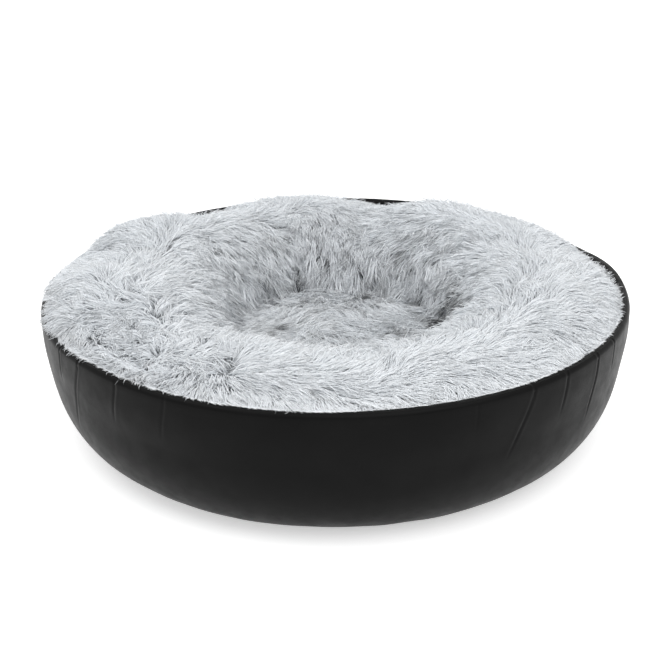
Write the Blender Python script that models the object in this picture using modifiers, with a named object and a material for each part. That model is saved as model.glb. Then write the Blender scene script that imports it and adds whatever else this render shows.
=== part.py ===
"""Round dog bed: a leatherette bowl with a padded rim, and a fur cushion that lifts out of it.

Metres, +Z up. The origin is on the floor at the middle of the base, and -Y is the front.
Angles round the bed are in degrees from +X towards +Y, so the back is at 90.
"""
import math

import bmesh
import bpy
from mathutils import Matrix, Vector

# The bowl
BED_RADIUS = 0.350
RIM_HEIGHT = 0.165
BASE_RADIUS = 0.262
WALL_FULLNESS = 2.4
COVER_LIFT = 0.0005
COVER_THICKNESS = 0.0020
WALL_FOAM_BASE_THICKNESS = 0.0160
WALL_FOAM_RIM_THICKNESS = 0.0029
LINING_THICKNESS = 0.0015
BINDING_THICKNESS = 0.0024
BINDING_HEM = 0.0030
BASE_PANEL_THICKNESS = 0.0020
BASE_BOARD_THICKNESS = 0.0030

# The cushion
SEAT_CLEARANCE = 0.0008
CUSHION_CLOTH_THICKNESS = 0.0015
FILL_CLEARANCE = 0.0035
CUSHION_SEAM_HEIGHT = 0.118
WELL_RADIUS = 0.125
WELL_FLOOR_HEIGHT = 0.107
WELL_FLOOR_CROWN = 0.0040
CREST_RADIUS = 0.237
CREST_HEIGHT = 0.205
FRONT_SAG = 0.022
SHOULDER_HEIGHT = 0.153
FUR_THICKNESS = 0.018
TUCKED_FUR_THICKNESS = 0.0040
DIP_DEPTH = 0.010
DIP_WIDTH_DEG = 13.0
BULGE_DEPTH = 0.007
BULGE_REACH = 0.080
FRONT_DEG = 268.0
FRONT_WIDTH_DEG = 55.0
FRONT_OPENING = 0.010
HOLLOW_DEPTH = 0.020
HOLLOW_WIDTH = 0.048
OUTER_HOLLOW_PLACE_SHARE = 0.63
INNER_HOLLOW_PLACE_SHARE = 0.33

# The zip, low on the back of the cover
ZIP_HEIGHT = 0.045
ZIP_FROM_DEG = 30.0
ZIP_TO_DEG = 150.0
ZIP_SLOT_WIDTH = 0.018
TAPE_THICKNESS = 0.0010
TAPE_SINK = 0.0007
COIL_WIDTH = 0.0050
COIL_HEIGHT = 0.0014
STOP_WIDTH = 0.0064
STOP_HEIGHT = 0.0020
STOP_LENGTH = 0.0030
SLIDER_LENGTH = 0.0140
SLIDER_PLATE = 0.0012
SLIDER_FLANGE = 0.0012
BRIDGE_WIRE_RADIUS = 0.0007
BRIDGE_RISE = 0.0038
BRIDGE_SPAN = 0.0100
BRIDGE_CORNER = 0.0012
RING_RADIUS = 0.0034
RING_WIRE_RADIUS = 0.0006
TAB_LENGTH = 0.0240
TAB_WIDTH = 0.0080
TAB_NECK_WIDTH = 0.0052
TAB_THICKNESS = 0.0010
TAB_HOLE_RADIUS = 0.0014

# Clearances and overruns
SEAM_GAP = 0.0003
SLIDE_CLEARANCE = 0.00035
CUT_OVERRUN = 0.0020
WELD_DISTANCE = 0.00001

# Dips between the bolster's swellings: place round the bed and share of DIP_DEPTH
DIPS_DEG_AND_SHARES = (
    (18, 0.75),
    (80, 1.00),
    (116, 0.85),
    (171, 0.75),
    (222, 0.80),
    (268, 0.45),
    (318, 0.60),
)

# Hollows and, below zero, lumps: place round the bed and share of HOLLOW_DEPTH. The outer ones lie
# between the bolster's crest and the bowl's edge, and the inner ones open the well's front.
OUTER_HOLLOWS_DEG_AND_SHARES = (
    (8, 0.45),
    (23, 0.20),
    (38, 0.50),
    (69, 1.00),
    (84, 0.55),
    (98, 0.30),
    (113, 0.20),
    (128, 0.75),
    (157, -0.95),
    (175, 0.20),
    (190, -0.80),
)
INNER_HOLLOWS_DEG_AND_SHARES = (
    (232, 0.50),
    (256, 0.30),
    (280, 0.45),
    (304, 0.45),
)

# Places along the wall's profile, as shares of the stretch below or above the zip
BELOW_ZIP_SHARES = (0.0, 0.38, 0.70)
ABOVE_ZIP_SHARES = (0.0, 0.28, 0.62, 1.0)

# Counts and the angle from which an edge is shaded sharp
SHARP_DEG = 50.0
TURN_STEPS = 48
ZIP_STEPS = 32
RIM_ARC_STEPS = 6
CORE_SIDES = 8
CREST_STEPS = 5
WIRE_RESOLUTION = 2
RING_SIDES = 16
RING_WIRE_SIDES = 6
TAB_ARC_STEPS = 4
HOLE_SIDES = 12

# Worked out from the sizes above
WALL_TOP_THICKNESS = COVER_THICKNESS + WALL_FOAM_RIM_THICKNESS + LINING_THICKNESS + 2 * SEAM_GAP
RIM_WIDTH = WALL_TOP_THICKNESS + 2 * (BINDING_THICKNESS + SEAM_GAP)
RIM_CENTRE_RADIUS = BED_RADIUS - RIM_WIDTH / 2
RIM_CENTRE_HEIGHT = RIM_HEIGHT - RIM_WIDTH / 2
CORE_RADIUS = RIM_WIDTH / 2 - BINDING_THICKNESS - SEAM_GAP
WALL_RADIUS = BED_RADIUS - BINDING_THICKNESS - SEAM_GAP
WALL_TOP = RIM_CENTRE_HEIGHT - CORE_RADIUS - SEAM_GAP
FOAM_DEPTH = COVER_THICKNESS + SEAM_GAP
CUSHION_RADIUS = BED_RADIUS - RIM_WIDTH - SEAT_CLEARANCE
OUTER_HOLLOW_RADIUS = CREST_RADIUS + (CUSHION_RADIUS - CREST_RADIUS) * OUTER_HOLLOW_PLACE_SHARE
INNER_HOLLOW_RADIUS = CREST_RADIUS - (CREST_RADIUS - WELL_RADIUS) * INNER_HOLLOW_PLACE_SHARE
FOAM_TOP = COVER_LIFT + FOAM_DEPTH + WALL_FOAM_BASE_THICKNESS
BOARD_BOTTOM = BASE_PANEL_THICKNESS + SEAM_GAP
BASE_FOAM_BOTTOM = BOARD_BOTTOM + BASE_BOARD_THICKNESS + SEAM_GAP
LINING_BOTTOM = FOAM_TOP + SEAM_GAP
LINING_TOP = LINING_BOTTOM + LINING_THICKNESS
PAD_BOTTOM = LINING_TOP + SEAT_CLEARANCE + CUSHION_CLOTH_THICKNESS + SEAM_GAP
PAD_RADIUS = WELL_RADIUS + FUR_THICKNESS
FUR_BOTTOM = WELL_FLOOR_HEIGHT - FUR_THICKNESS


def clear_scene():
    for obj in list(bpy.data.objects):
        bpy.data.objects.remove(obj, do_unlink=True)


def make_collection(name):
    collection = bpy.data.collections.new(name)
    bpy.context.scene.collection.children.link(collection)
    return collection


def make_material(name, colour, roughness, metallic=0.0):
    material = bpy.data.materials.new(name)
    material.use_nodes = True
    shader = material.node_tree.nodes["Principled BSDF"]
    shader.inputs["Base Color"].default_value = (*colour, 1.0)
    shader.inputs["Roughness"].default_value = roughness
    shader.inputs["Metallic"].default_value = metallic
    return material


clear_scene()
BED = make_collection("round_dog_bed")
CUTTERS = make_collection("cutters")
CUTTERS.hide_render = True

LEATHERETTE = make_material("black_leatherette", (0.018, 0.018, 0.019), 0.42)
BINDING = make_material("black_binding", (0.022, 0.022, 0.023), 0.45)
LINING = make_material("black_lining", (0.020, 0.020, 0.022), 0.85)
NON_SLIP = make_material("non_slip_cloth", (0.030, 0.030, 0.032), 0.90)
BOARD = make_material("grey_board", (0.30, 0.28, 0.25), 0.80)
FOAM = make_material("white_foam", (0.80, 0.78, 0.70), 0.95)
FIBRE = make_material("fibre_filling", (0.88, 0.88, 0.88), 0.95)
FUR = make_material("grey_fur", (0.62, 0.64, 0.66), 0.90)
CLOTH = make_material("grey_cloth", (0.30, 0.31, 0.32), 0.90)
TAPE = make_material("black_tape", (0.020, 0.020, 0.020), 0.85)
COIL = make_material("black_coil", (0.030, 0.030, 0.030), 0.45)
METAL = make_material("dark_nickel", (0.24, 0.24, 0.25), 0.30, 1.0)


def add_object(name, mesh, material, parent=None):
    """Put a mesh in the bed's collection, with its one material."""
    obj = bpy.data.objects.new(name, mesh)
    BED.objects.link(obj)
    mesh.materials.clear()
    mesh.materials.append(material)
    obj.parent = parent
    return obj


def add_empty(name, location, parent=None):
    empty = bpy.data.objects.new(name, None)
    empty.empty_display_size = BED_RADIUS / 4
    empty.location = location
    BED.objects.link(empty)
    empty.parent = parent
    bpy.context.view_layer.update()
    return empty


def evaluated_mesh(obj):
    """The object's mesh with its modifiers applied and its loose caps welded."""
    graph = bpy.context.evaluated_depsgraph_get()
    mesh = bpy.data.meshes.new_from_object(obj.evaluated_get(graph))
    bm = bmesh.new()
    bm.from_mesh(mesh)
    bmesh.ops.remove_doubles(bm, verts=bm.verts, dist=WELD_DISTANCE)
    bmesh.ops.recalc_face_normals(bm, faces=bm.faces)
    bm.to_mesh(mesh)
    bm.free()
    return mesh


def shade_round(mesh):
    mesh.shade_smooth()
    mesh.set_sharp_from_angle(angle=math.radians(SHARP_DEG))


def turned(name, profile, material, parent=None, ring=True):
    """A turned piece. The profile (r, z) keeps the solid on its right; a ring's profile is a closed loop."""
    mesh = bpy.data.meshes.new(name)
    last = len(profile)
    edges = [(i, i + 1) for i in range(last - 1)]
    if ring:
        edges.append((last - 1, 0))
    mesh.from_pydata([(r, 0.0, z) for r, z in profile], edges, [])
    obj = add_object(name, mesh, material, parent)
    screw = obj.modifiers.new("turn", "SCREW")
    screw.angle = 2 * math.pi
    screw.steps = TURN_STEPS
    screw.render_steps = TURN_STEPS
    screw.use_merge_vertices = True
    screw.merge_threshold = WELD_DISTANCE
    screw.use_smooth_shade = True
    return obj


def smooth_step(share):
    share = min(max(share, 0.0), 1.0)
    return share * share * (3 - 2 * share)


def bowl_share(height):
    """Where the wall's outer face reaches a height, as a share of its quarter turn."""
    fall = 1 - (height - COVER_LIFT) / (WALL_TOP - COVER_LIFT)
    return math.acos(fall ** (WALL_FULLNESS / 2)) / (math.pi / 2)


def bowl_point(share, depth=0.0):
    """(r, z) on the wall's profile, a depth in from its outer face. Share 0 is the base, 1 the rim."""
    turn = share * math.pi / 2
    across = max(math.sin(turn), 0.0)
    down = max(math.cos(turn), 0.0)
    width = WALL_RADIUS - BASE_RADIUS
    height = WALL_TOP - COVER_LIFT
    power = 2 / WALL_FULLNESS
    r = BASE_RADIUS + width * across ** power
    z = COVER_LIFT + height * (1 - down ** power)
    slope = 2 - power
    out = across ** slope / width
    low = down ** slope / height
    length = math.hypot(out, low)
    return r - depth * out / length, z + depth * low / length


ZIP_LOW = bowl_share(ZIP_HEIGHT - ZIP_SLOT_WIDTH / 2)
ZIP_HIGH = bowl_share(ZIP_HEIGHT + ZIP_SLOT_WIDTH / 2)
WALL_SHARES = [ZIP_LOW * share for share in BELOW_ZIP_SHARES]
WALL_SHARES += [ZIP_LOW]
WALL_SHARES += [ZIP_HIGH + (1 - ZIP_HIGH) * share for share in ABOVE_ZIP_SHARES]


def foam_thickness(share):
    return WALL_FOAM_BASE_THICKNESS + (WALL_FOAM_RIM_THICKNESS - WALL_FOAM_BASE_THICKNESS) * share


def lining_depth(share):
    """Depth of the lining's outer face."""
    return FOAM_DEPTH + foam_thickness(share) + SEAM_GAP


def cushion_depth(share):
    """Depth of the cushion cloth's outer face."""
    return lining_depth(share) + LINING_THICKNESS + SEAT_CLEARANCE


def wall_ring(outer_depth, inner_depth):
    """Closed profile of a wall layer between two depths, each a function of the share."""
    down = [bowl_point(share, outer_depth(share)) for share in reversed(WALL_SHARES)]
    up = [bowl_point(share, inner_depth(share)) for share in WALL_SHARES]
    return down + up


def disc(radius, bottom, top):
    return [(0.0, top), (radius, top), (radius, bottom), (0.0, bottom)]


# Shell
def zip_frame(angle_deg):
    """Matrix of the zip's own axes at an angle: x along the zip, y up the wall, z out of the cover."""
    low = bowl_point(ZIP_LOW)
    high = bowl_point(ZIP_HIGH)
    run = Vector((high[0] - low[0], high[1] - low[1])).normalized()
    angle = math.radians(angle_deg)
    outward = Vector((math.cos(angle), math.sin(angle), 0.0))
    along = Vector((-math.sin(angle), math.cos(angle), 0.0))
    up = outward * run.x + Vector((0.0, 0.0, run.y))
    out = along.cross(up)
    place = outward * (low[0] + high[0]) / 2 + Vector((0.0, 0.0, (low[1] + high[1]) / 2))
    return Matrix.Translation(place) @ Matrix((along, up, out)).transposed().to_4x4()


def zip_section(corners):
    """Corners (up the wall, out of the cover) as points (x, 0, z) of the plane y = 0."""
    frame = zip_frame(0.0)
    return [frame @ Vector((0.0, up, out)) for up, out in corners]


def zip_radius():
    return zip_frame(0.0).translation.x


def arc_degrees(length):
    """The angle round the bed that a length along the zip takes."""
    return math.degrees(length / zip_radius())


def swept(name, corners, from_deg, to_deg, steps, material, parent=None):
    """A closed strip: a section in the zip's axes, spun round the bed between two angles."""
    bm = bmesh.new()
    face = bm.faces.new([bm.verts.new(point) for point in zip_section(corners)])
    start = Matrix.Rotation(math.radians(from_deg), 4, "Z")
    bmesh.ops.transform(bm, matrix=start, verts=bm.verts)
    bmesh.ops.spin(
        bm,
        geom=list(face.verts) + list(face.edges) + [face],
        axis=(0.0, 0.0, 1.0),
        cent=(0.0, 0.0, 0.0),
        angle=math.radians(to_deg - from_deg),
        steps=steps,
        use_duplicate=False,
    )
    bmesh.ops.recalc_face_normals(bm, faces=bm.faces)
    mesh = bpy.data.meshes.new(name)
    bm.to_mesh(mesh)
    bm.free()
    return add_object(name, mesh, material, parent)


def box_corners(half_width, bottom, top, middle=0.0):
    """A section's corners: a strip about a middle line, between two heights over the cover."""
    return [
        (middle - half_width, bottom),
        (middle + half_width, bottom),
        (middle + half_width, top),
        (middle - half_width, top),
    ]


def make_cutter(obj):
    BED.objects.unlink(obj)
    CUTTERS.objects.link(obj)
    obj.hide_render = True
    obj.display_type = "WIRE"
    return obj


def add_boolean(obj, other, operation):
    boolean = obj.modifiers.new(operation.lower(), "BOOLEAN")
    boolean.object = other
    boolean.operation = operation
    boolean.solver = "EXACT"


def make_outer_cover():
    profile = wall_ring(lambda share: 0.0, lambda share: COVER_THICKNESS)
    cover = turned("outer_cover", profile, LEATHERETTE)
    slot = swept(
        "zip_slot_cutter",
        box_corners(ZIP_SLOT_WIDTH / 2, -COVER_THICKNESS - CUT_OVERRUN, CUT_OVERRUN),
        ZIP_FROM_DEG,
        ZIP_TO_DEG,
        ZIP_STEPS,
        LEATHERETTE,
    )
    add_boolean(cover, make_cutter(slot), "DIFFERENCE")


def make_wall_foam():
    profile = wall_ring(
        lambda share: FOAM_DEPTH,
        lambda share: FOAM_DEPTH + foam_thickness(share),
    )
    turned("wall_foam", profile, FOAM)


def make_inner_lining():
    inner = [bowl_point(share, lining_depth(share) + LINING_THICKNESS) for share in WALL_SHARES]
    outer = [bowl_point(share, lining_depth(share)) for share in reversed(WALL_SHARES)]
    profile = [(0.0, LINING_TOP)] + inner + outer + [(0.0, LINING_BOTTOM)]
    turned("inner_lining", profile, LINING, ring=False)


def make_base():
    """The floor of the shell: non-slip cloth, board and foam, one on the other."""
    radius = BASE_RADIUS - SEAM_GAP
    board_top = BOARD_BOTTOM + BASE_BOARD_THICKNESS
    turned("base_panel", disc(radius, 0.0, BASE_PANEL_THICKNESS), NON_SLIP, ring=False)
    turned("base_board", disc(radius, BOARD_BOTTOM, board_top), BOARD, ring=False)
    turned("base_foam", disc(radius, BASE_FOAM_BOTTOM, FOAM_TOP), FOAM, ring=False)


def make_rim():
    """A foam cord on the wall's top edge, and the strip folded over both."""
    hem = WALL_TOP - BINDING_HEM
    outer = RIM_WIDTH / 2
    inner = outer - BINDING_THICKNESS
    profile = [(RIM_CENTRE_RADIUS - inner, hem), (RIM_CENTRE_RADIUS - outer, hem)]
    for i in range(RIM_ARC_STEPS + 1):
        turn = math.pi * (1 - i / RIM_ARC_STEPS)
        r = RIM_CENTRE_RADIUS + outer * math.cos(turn)
        profile.append((r, RIM_CENTRE_HEIGHT + outer * math.sin(turn)))
    profile += [(RIM_CENTRE_RADIUS + outer, hem), (RIM_CENTRE_RADIUS + inner, hem)]
    for i in range(RIM_ARC_STEPS + 1):
        turn = math.pi * i / RIM_ARC_STEPS
        r = RIM_CENTRE_RADIUS + inner * math.cos(turn)
        profile.append((r, RIM_CENTRE_HEIGHT + inner * math.sin(turn)))
    turned("rim_binding", profile, BINDING)
    core = []
    for i in range(CORE_SIDES):
        turn = math.pi / CORE_SIDES - 2 * math.pi * i / CORE_SIDES
        r = RIM_CENTRE_RADIUS + CORE_RADIUS * math.cos(turn)
        core.append((r, RIM_CENTRE_HEIGHT + CORE_RADIUS * math.sin(turn)))
    turned("rim_core", core, FOAM)


# Zip
TAPE_TOP = -TAPE_SINK
COIL_BOTTOM = TAPE_TOP + SEAM_GAP
COIL_TOP = COIL_BOTTOM + COIL_HEIGHT
PLATE_BOTTOM = COIL_TOP + SLIDE_CLEARANCE
PLATE_TOP = PLATE_BOTTOM + SLIDER_PLATE
CHANNEL_HALF = COIL_WIDTH / 2 + SLIDE_CLEARANCE
SLIDER_HALF = CHANNEL_HALF + SLIDER_FLANGE
BAR_HEIGHT = PLATE_TOP + BRIDGE_RISE
STOP_FROM_DEG = ZIP_FROM_DEG + arc_degrees(2 * SEAM_GAP)
STOP_TO_DEG = ZIP_TO_DEG - arc_degrees(2 * SEAM_GAP)
COIL_FROM_DEG = STOP_FROM_DEG + arc_degrees(STOP_LENGTH + SEAM_GAP)
COIL_TO_DEG = STOP_TO_DEG - arc_degrees(STOP_LENGTH + SEAM_GAP)
SLIDER_REACH_DEG = arc_degrees(SLIDER_LENGTH / 2 + SLIDE_CLEARANCE)
SLIDER_DEG = COIL_TO_DEG - SLIDER_REACH_DEG
SLIDER_TRAVEL_DEG = SLIDER_DEG - COIL_FROM_DEG - SLIDER_REACH_DEG


def make_zip_track():
    end_gap = arc_degrees(SEAM_GAP)
    outside = ZIP_SLOT_WIDTH / 2 - SEAM_GAP
    half = (outside - SEAM_GAP / 2) / 2
    middle = outside - half
    for name, side in (("zip_tape_upper", 1), ("zip_tape_lower", -1)):
        swept(
            name,
            box_corners(half, TAPE_TOP - TAPE_THICKNESS, TAPE_TOP, side * middle),
            ZIP_FROM_DEG + end_gap,
            ZIP_TO_DEG - end_gap,
            ZIP_STEPS,
            TAPE,
        )
    crown = COIL_WIDTH / 4
    coil = [
        (-COIL_WIDTH / 2, COIL_BOTTOM),
        (COIL_WIDTH / 2, COIL_BOTTOM),
        (COIL_WIDTH / 2, (COIL_BOTTOM + COIL_TOP) / 2),
        (crown, COIL_TOP),
        (-crown, COIL_TOP),
        (-COIL_WIDTH / 2, (COIL_BOTTOM + COIL_TOP) / 2),
    ]
    swept("zip_coil", coil, COIL_FROM_DEG, COIL_TO_DEG, ZIP_STEPS, COIL)
    stop = box_corners(STOP_WIDTH / 2, COIL_BOTTOM, COIL_BOTTOM + STOP_HEIGHT)
    length = arc_degrees(STOP_LENGTH)
    swept("zip_stop_open", stop, STOP_FROM_DEG, STOP_FROM_DEG + length, 1, METAL)
    swept("zip_stop_closed", stop, STOP_TO_DEG - length, STOP_TO_DEG, 1, METAL)


def curve_object(name, splines, dimensions):
    """A curve of straight-sided splines, each (points, cyclic)."""
    curve = bpy.data.curves.new(name, "CURVE")
    curve.dimensions = dimensions
    for points, cyclic in splines:
        spline = curve.splines.new("POLY")
        spline.points.add(len(points) - 1)
        for point, (x, y, z) in zip(spline.points, points):
            point.co = (x, y, z, 1.0)
        spline.use_cyclic_u = cyclic
    obj = bpy.data.objects.new(name, curve)
    bpy.context.scene.collection.objects.link(obj)
    return obj


def curve_to_mesh(obj, matrix):
    """The curve's closed mesh, moved by a matrix; the curve itself is removed."""
    bpy.context.view_layer.update()
    mesh = evaluated_mesh(obj)
    mesh.transform(matrix)
    bpy.data.objects.remove(obj, do_unlink=True)
    return mesh


def flat_plate(name, splines, thickness, matrix):
    """A flat outline, with its holes, as a plate of a thickness about its own plane."""
    obj = curve_object(name, [(points, True) for points in splines], "2D")
    obj.data.fill_mode = "BOTH"
    obj.data.extrude = thickness / 2
    return curve_to_mesh(obj, matrix)


def bridge_point():
    """The middle of the slider's bridge bar at rest, where the ring hangs."""
    return zip_frame(SLIDER_DEG) @ Vector((0.0, 0.0, BAR_HEIGHT))


def make_zip_slider(parent):
    """A plate with two flanges round the coil, and a wire bridge over it."""
    frame = zip_frame(SLIDER_DEG)
    flange_bottom = TAPE_TOP + SLIDE_CLEARANCE
    section = [
        (-SLIDER_HALF, flange_bottom),
        (-CHANNEL_HALF, flange_bottom),
        (-CHANNEL_HALF, PLATE_BOTTOM),
        (CHANNEL_HALF, PLATE_BOTTOM),
        (CHANNEL_HALF, flange_bottom),
        (SLIDER_HALF, flange_bottom),
        (SLIDER_HALF, PLATE_TOP - SLIDER_PLATE / 2),
        (SLIDER_HALF - SLIDER_FLANGE, PLATE_TOP),
        (SLIDER_FLANGE - SLIDER_HALF, PLATE_TOP),
        (-SLIDER_HALF, PLATE_TOP - SLIDER_PLATE / 2),
    ]
    upright = Matrix(((0, 0, 1, 0), (1, 0, 0, 0), (0, 1, 0, 0), (0, 0, 0, 1)))
    outline = [(up, out, 0.0) for up, out in section]
    body = flat_plate("slider_body", [outline], SLIDER_LENGTH, frame @ upright)
    slider = add_object("zip_slider", body, METAL)
    foot = PLATE_TOP - SLIDER_PLATE / 2
    half = BRIDGE_SPAN / 2
    corner = BRIDGE_CORNER
    route = [
        (-half, 0.0, foot),
        (-half, 0.0, BAR_HEIGHT - corner),
        (corner - half, 0.0, BAR_HEIGHT),
        (half - corner, 0.0, BAR_HEIGHT),
        (half, 0.0, BAR_HEIGHT - corner),
        (half, 0.0, foot),
    ]
    wire = curve_object("bridge_wire", [(route, False)], "3D")
    wire.data.bevel_depth = BRIDGE_WIRE_RADIUS
    wire.data.bevel_resolution = WIRE_RESOLUTION
    wire.data.use_fill_caps = True
    bridge = add_object("bridge_cutter", curve_to_mesh(wire, frame), METAL)
    add_boolean(slider, make_cutter(bridge), "UNION")
    slider.parent = parent
    return slider


def make_zip_pull(parent):
    """A wire ring on the bridge bar, and a flat tab that hangs on the ring."""
    bar = bridge_point()
    angle = math.radians(SLIDER_DEG)
    outward = Vector((math.cos(angle), math.sin(angle), 0.0))
    along = Vector((-math.sin(angle), math.cos(angle), 0.0))
    down = Vector((0.0, 0.0, -1.0))
    drop = RING_RADIUS - RING_WIRE_RADIUS - BRIDGE_WIRE_RADIUS - SEAM_GAP
    centre = bar + down * drop
    bpy.ops.mesh.primitive_torus_add(
        major_segments=RING_SIDES,
        minor_segments=RING_WIRE_SIDES,
        major_radius=RING_RADIUS,
        minor_radius=RING_WIRE_RADIUS,
    )
    torus = bpy.context.object
    mesh = torus.data
    turn = Matrix((outward, -down, -along)).transposed().to_4x4()
    mesh.transform(Matrix.Translation(centre) @ turn)
    bpy.data.objects.remove(torus, do_unlink=True)
    shade_round(mesh)
    ring = add_object("zip_pull_ring", mesh, METAL, parent)
    ring.matrix_parent_inverse = parent.matrix_world.inverted()

    wire = centre + down * RING_RADIUS
    hole = wire + down * (TAB_HOLE_RADIUS - RING_WIRE_RADIUS - SEAM_GAP)
    neck = TAB_NECK_WIDTH / 2
    foot = TAB_WIDTH / 2
    bottom = neck - TAB_LENGTH
    outline = []
    for i in range(TAB_ARC_STEPS * 2 + 1):
        turn = math.pi * i / (TAB_ARC_STEPS * 2)
        outline.append((neck * math.cos(turn), neck * math.sin(turn), 0.0))
    for i in range(TAB_ARC_STEPS * 2 + 1):
        turn = math.pi * (1 + i / (TAB_ARC_STEPS * 2))
        outline.append((foot * math.cos(turn), bottom + foot * (1 + math.sin(turn)), 0.0))
    eye = []
    for i in range(HOLE_SIDES):
        turn = 2 * math.pi * i / HOLE_SIDES
        eye.append((TAB_HOLE_RADIUS * math.cos(turn), TAB_HOLE_RADIUS * math.sin(turn), 0.0))
    frame = Matrix.Translation(hole) @ Matrix((along, -down, outward)).transposed().to_4x4()
    plate = flat_plate("pull_tab", [outline, eye], TAB_THICKNESS, frame)
    tab = add_object("zip_puller", plate, METAL, parent)
    tab.matrix_parent_inverse = parent.matrix_world.inverted()


# Cushion
def dip(angle_deg):
    """How deep the bolster dips at an angle, as a share of DIP_DEPTH."""
    total = 0.0
    for place, share in DIPS_DEG_AND_SHARES:
        away = (angle_deg - place + 180) % 360 - 180
        total += share * math.exp(-((away / DIP_WIDTH_DEG) ** 2))
    return min(total, 1.0)


def crest_drop(angle_deg):
    """How far the bolster's crest lies below CREST_HEIGHT: it dips in places and is lowest in front."""
    frontness = ((1 - math.sin(math.radians(angle_deg))) / 2) ** 2
    return DIP_DEPTH * dip(angle_deg) + FRONT_SAG * frontness


def hollow(x, y):
    """How far the bolster's surface sinks or, below zero, rises at a place."""
    places = [(OUTER_HOLLOW_RADIUS, *row) for row in OUTER_HOLLOWS_DEG_AND_SHARES]
    places += [(INNER_HOLLOW_RADIUS, *row) for row in INNER_HOLLOWS_DEG_AND_SHARES]
    total = 0.0
    for radius, angle_deg, share in places:
        turn = math.radians(angle_deg)
        away = math.hypot(x - radius * math.cos(turn), y - radius * math.sin(turn)) / HOLLOW_WIDTH
        total += share * math.exp(-(away ** 2))
    return HOLLOW_DEPTH * total


def swell(point):
    """Move a point of the bolster for its swellings, which narrow the well but at its open front."""
    r = math.hypot(point.x, point.y)
    angle_deg = math.degrees(math.atan2(point.y, point.x))
    low = (CUSHION_SEAM_HEIGHT + SHOULDER_HEIGHT) / 2
    height = smooth_step((point.z - low) / (CREST_HEIGHT - low))
    from_floor = max(0.0, (point.z - WELL_FLOOR_HEIGHT) / (CREST_HEIGHT - WELL_FLOOR_HEIGHT))
    inner = 1 - smooth_step((r - CREST_RADIUS + BULGE_REACH) / (2 * BULGE_REACH))
    height += (from_floor - height) * inner
    from_front = (angle_deg - FRONT_DEG + 180) % 360 - 180
    front = math.exp(-((from_front / FRONT_WIDTH_DEG) ** 2))
    outward = BULGE_DEPTH * (dip(angle_deg) - 1) * (1 - front) + FRONT_OPENING * front
    scale = 1 + outward * inner * smooth_step(from_floor) / r
    drop = crest_drop(angle_deg) + hollow(point.x, point.y)
    lowered = min(point.z - drop * height, CREST_HEIGHT)
    return Vector((point.x * scale, point.y * scale, lowered))


def make_lobed(obj):
    """Give a turned piece of the bolster its swellings."""
    mesh = evaluated_mesh(obj)
    for vertex in mesh.vertices:
        vertex.co = swell(vertex.co)
    obj.modifiers.clear()
    obj.data = mesh
    shade_round(mesh)


def bolster_curve(depth, edge_depth):
    """The bolster's section from the well's foot over the crest to the bowl's edge, a depth inside the fur."""
    crest = CREST_HEIGHT - depth
    foot = WELL_RADIUS + depth
    edge = CUSHION_RADIUS - edge_depth
    base = WELL_FLOOR_HEIGHT - depth
    points = []
    for i in range(CREST_STEPS + 1):
        turn = math.pi / 2 * i / CREST_STEPS
        r = CREST_RADIUS - (CREST_RADIUS - foot) * math.cos(turn)
        points.append((r, base + (crest - base) * math.sin(turn)))
    for i in range(1, CREST_STEPS + 1):
        turn = math.pi / 2 * i / CREST_STEPS
        r = CREST_RADIUS + (edge - CREST_RADIUS) * math.sin(turn)
        points.append((r, SHOULDER_HEIGHT + (crest - SHOULDER_HEIGHT) * math.cos(turn)))
    return points


def seat_point(share, depth):
    """(r, z) a depth inside the cushion's outer face, which clears the rim as it lifts."""
    r, z = bowl_point(share, cushion_depth(share) + depth)
    return min(r, CUSHION_RADIUS - depth), z


def seam_share():
    """Where the cushion's cloth ends and its fur begins."""
    return bowl_share(CUSHION_SEAM_HEIGHT)


def seat_shares():
    below = [share for share in WALL_SHARES if share < seam_share() - 1 / TURN_STEPS]
    return below + [seam_share()]


def make_bolster_cover(parent):
    """Fur over the bolster, from the well's foot to a seam inside the bowl."""
    seam = seat_point(seam_share(), 0.0)
    seam_top = seam[1] + SEAM_GAP
    over = bolster_curve(0.0, 0.0)
    under = bolster_curve(FUR_THICKNESS, TUCKED_FUR_THICKNESS)
    profile = [(WELL_RADIUS, FUR_BOTTOM)] + over
    profile.append((seam[0], seam_top))
    profile.append((seam[0] - TUCKED_FUR_THICKNESS, seam_top))
    profile += list(reversed(under))
    make_lobed(turned("bolster_cover", profile, FUR, parent))


def make_bolster_fill(parent):
    """Fibre filling of the ring, between the cushion's cloth and the fur's backing."""
    depth = CUSHION_CLOTH_THICKNESS + SEAM_GAP
    side = [seat_point(share, depth) for share in reversed(seat_shares())]
    top = bolster_curve(FUR_THICKNESS + FILL_CLEARANCE, TUCKED_FUR_THICKNESS + FILL_CLEARANCE)
    lip = seat_point(seam_share(), 0.0)[0] - TUCKED_FUR_THICKNESS - FILL_CLEARANCE
    profile = [(PAD_RADIUS + FILL_CLEARANCE, PAD_BOTTOM)] + top
    profile.append((lip, side[0][1]))
    profile += side[1:]
    make_lobed(turned("bolster_fill", profile, FIBRE, parent))


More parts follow.
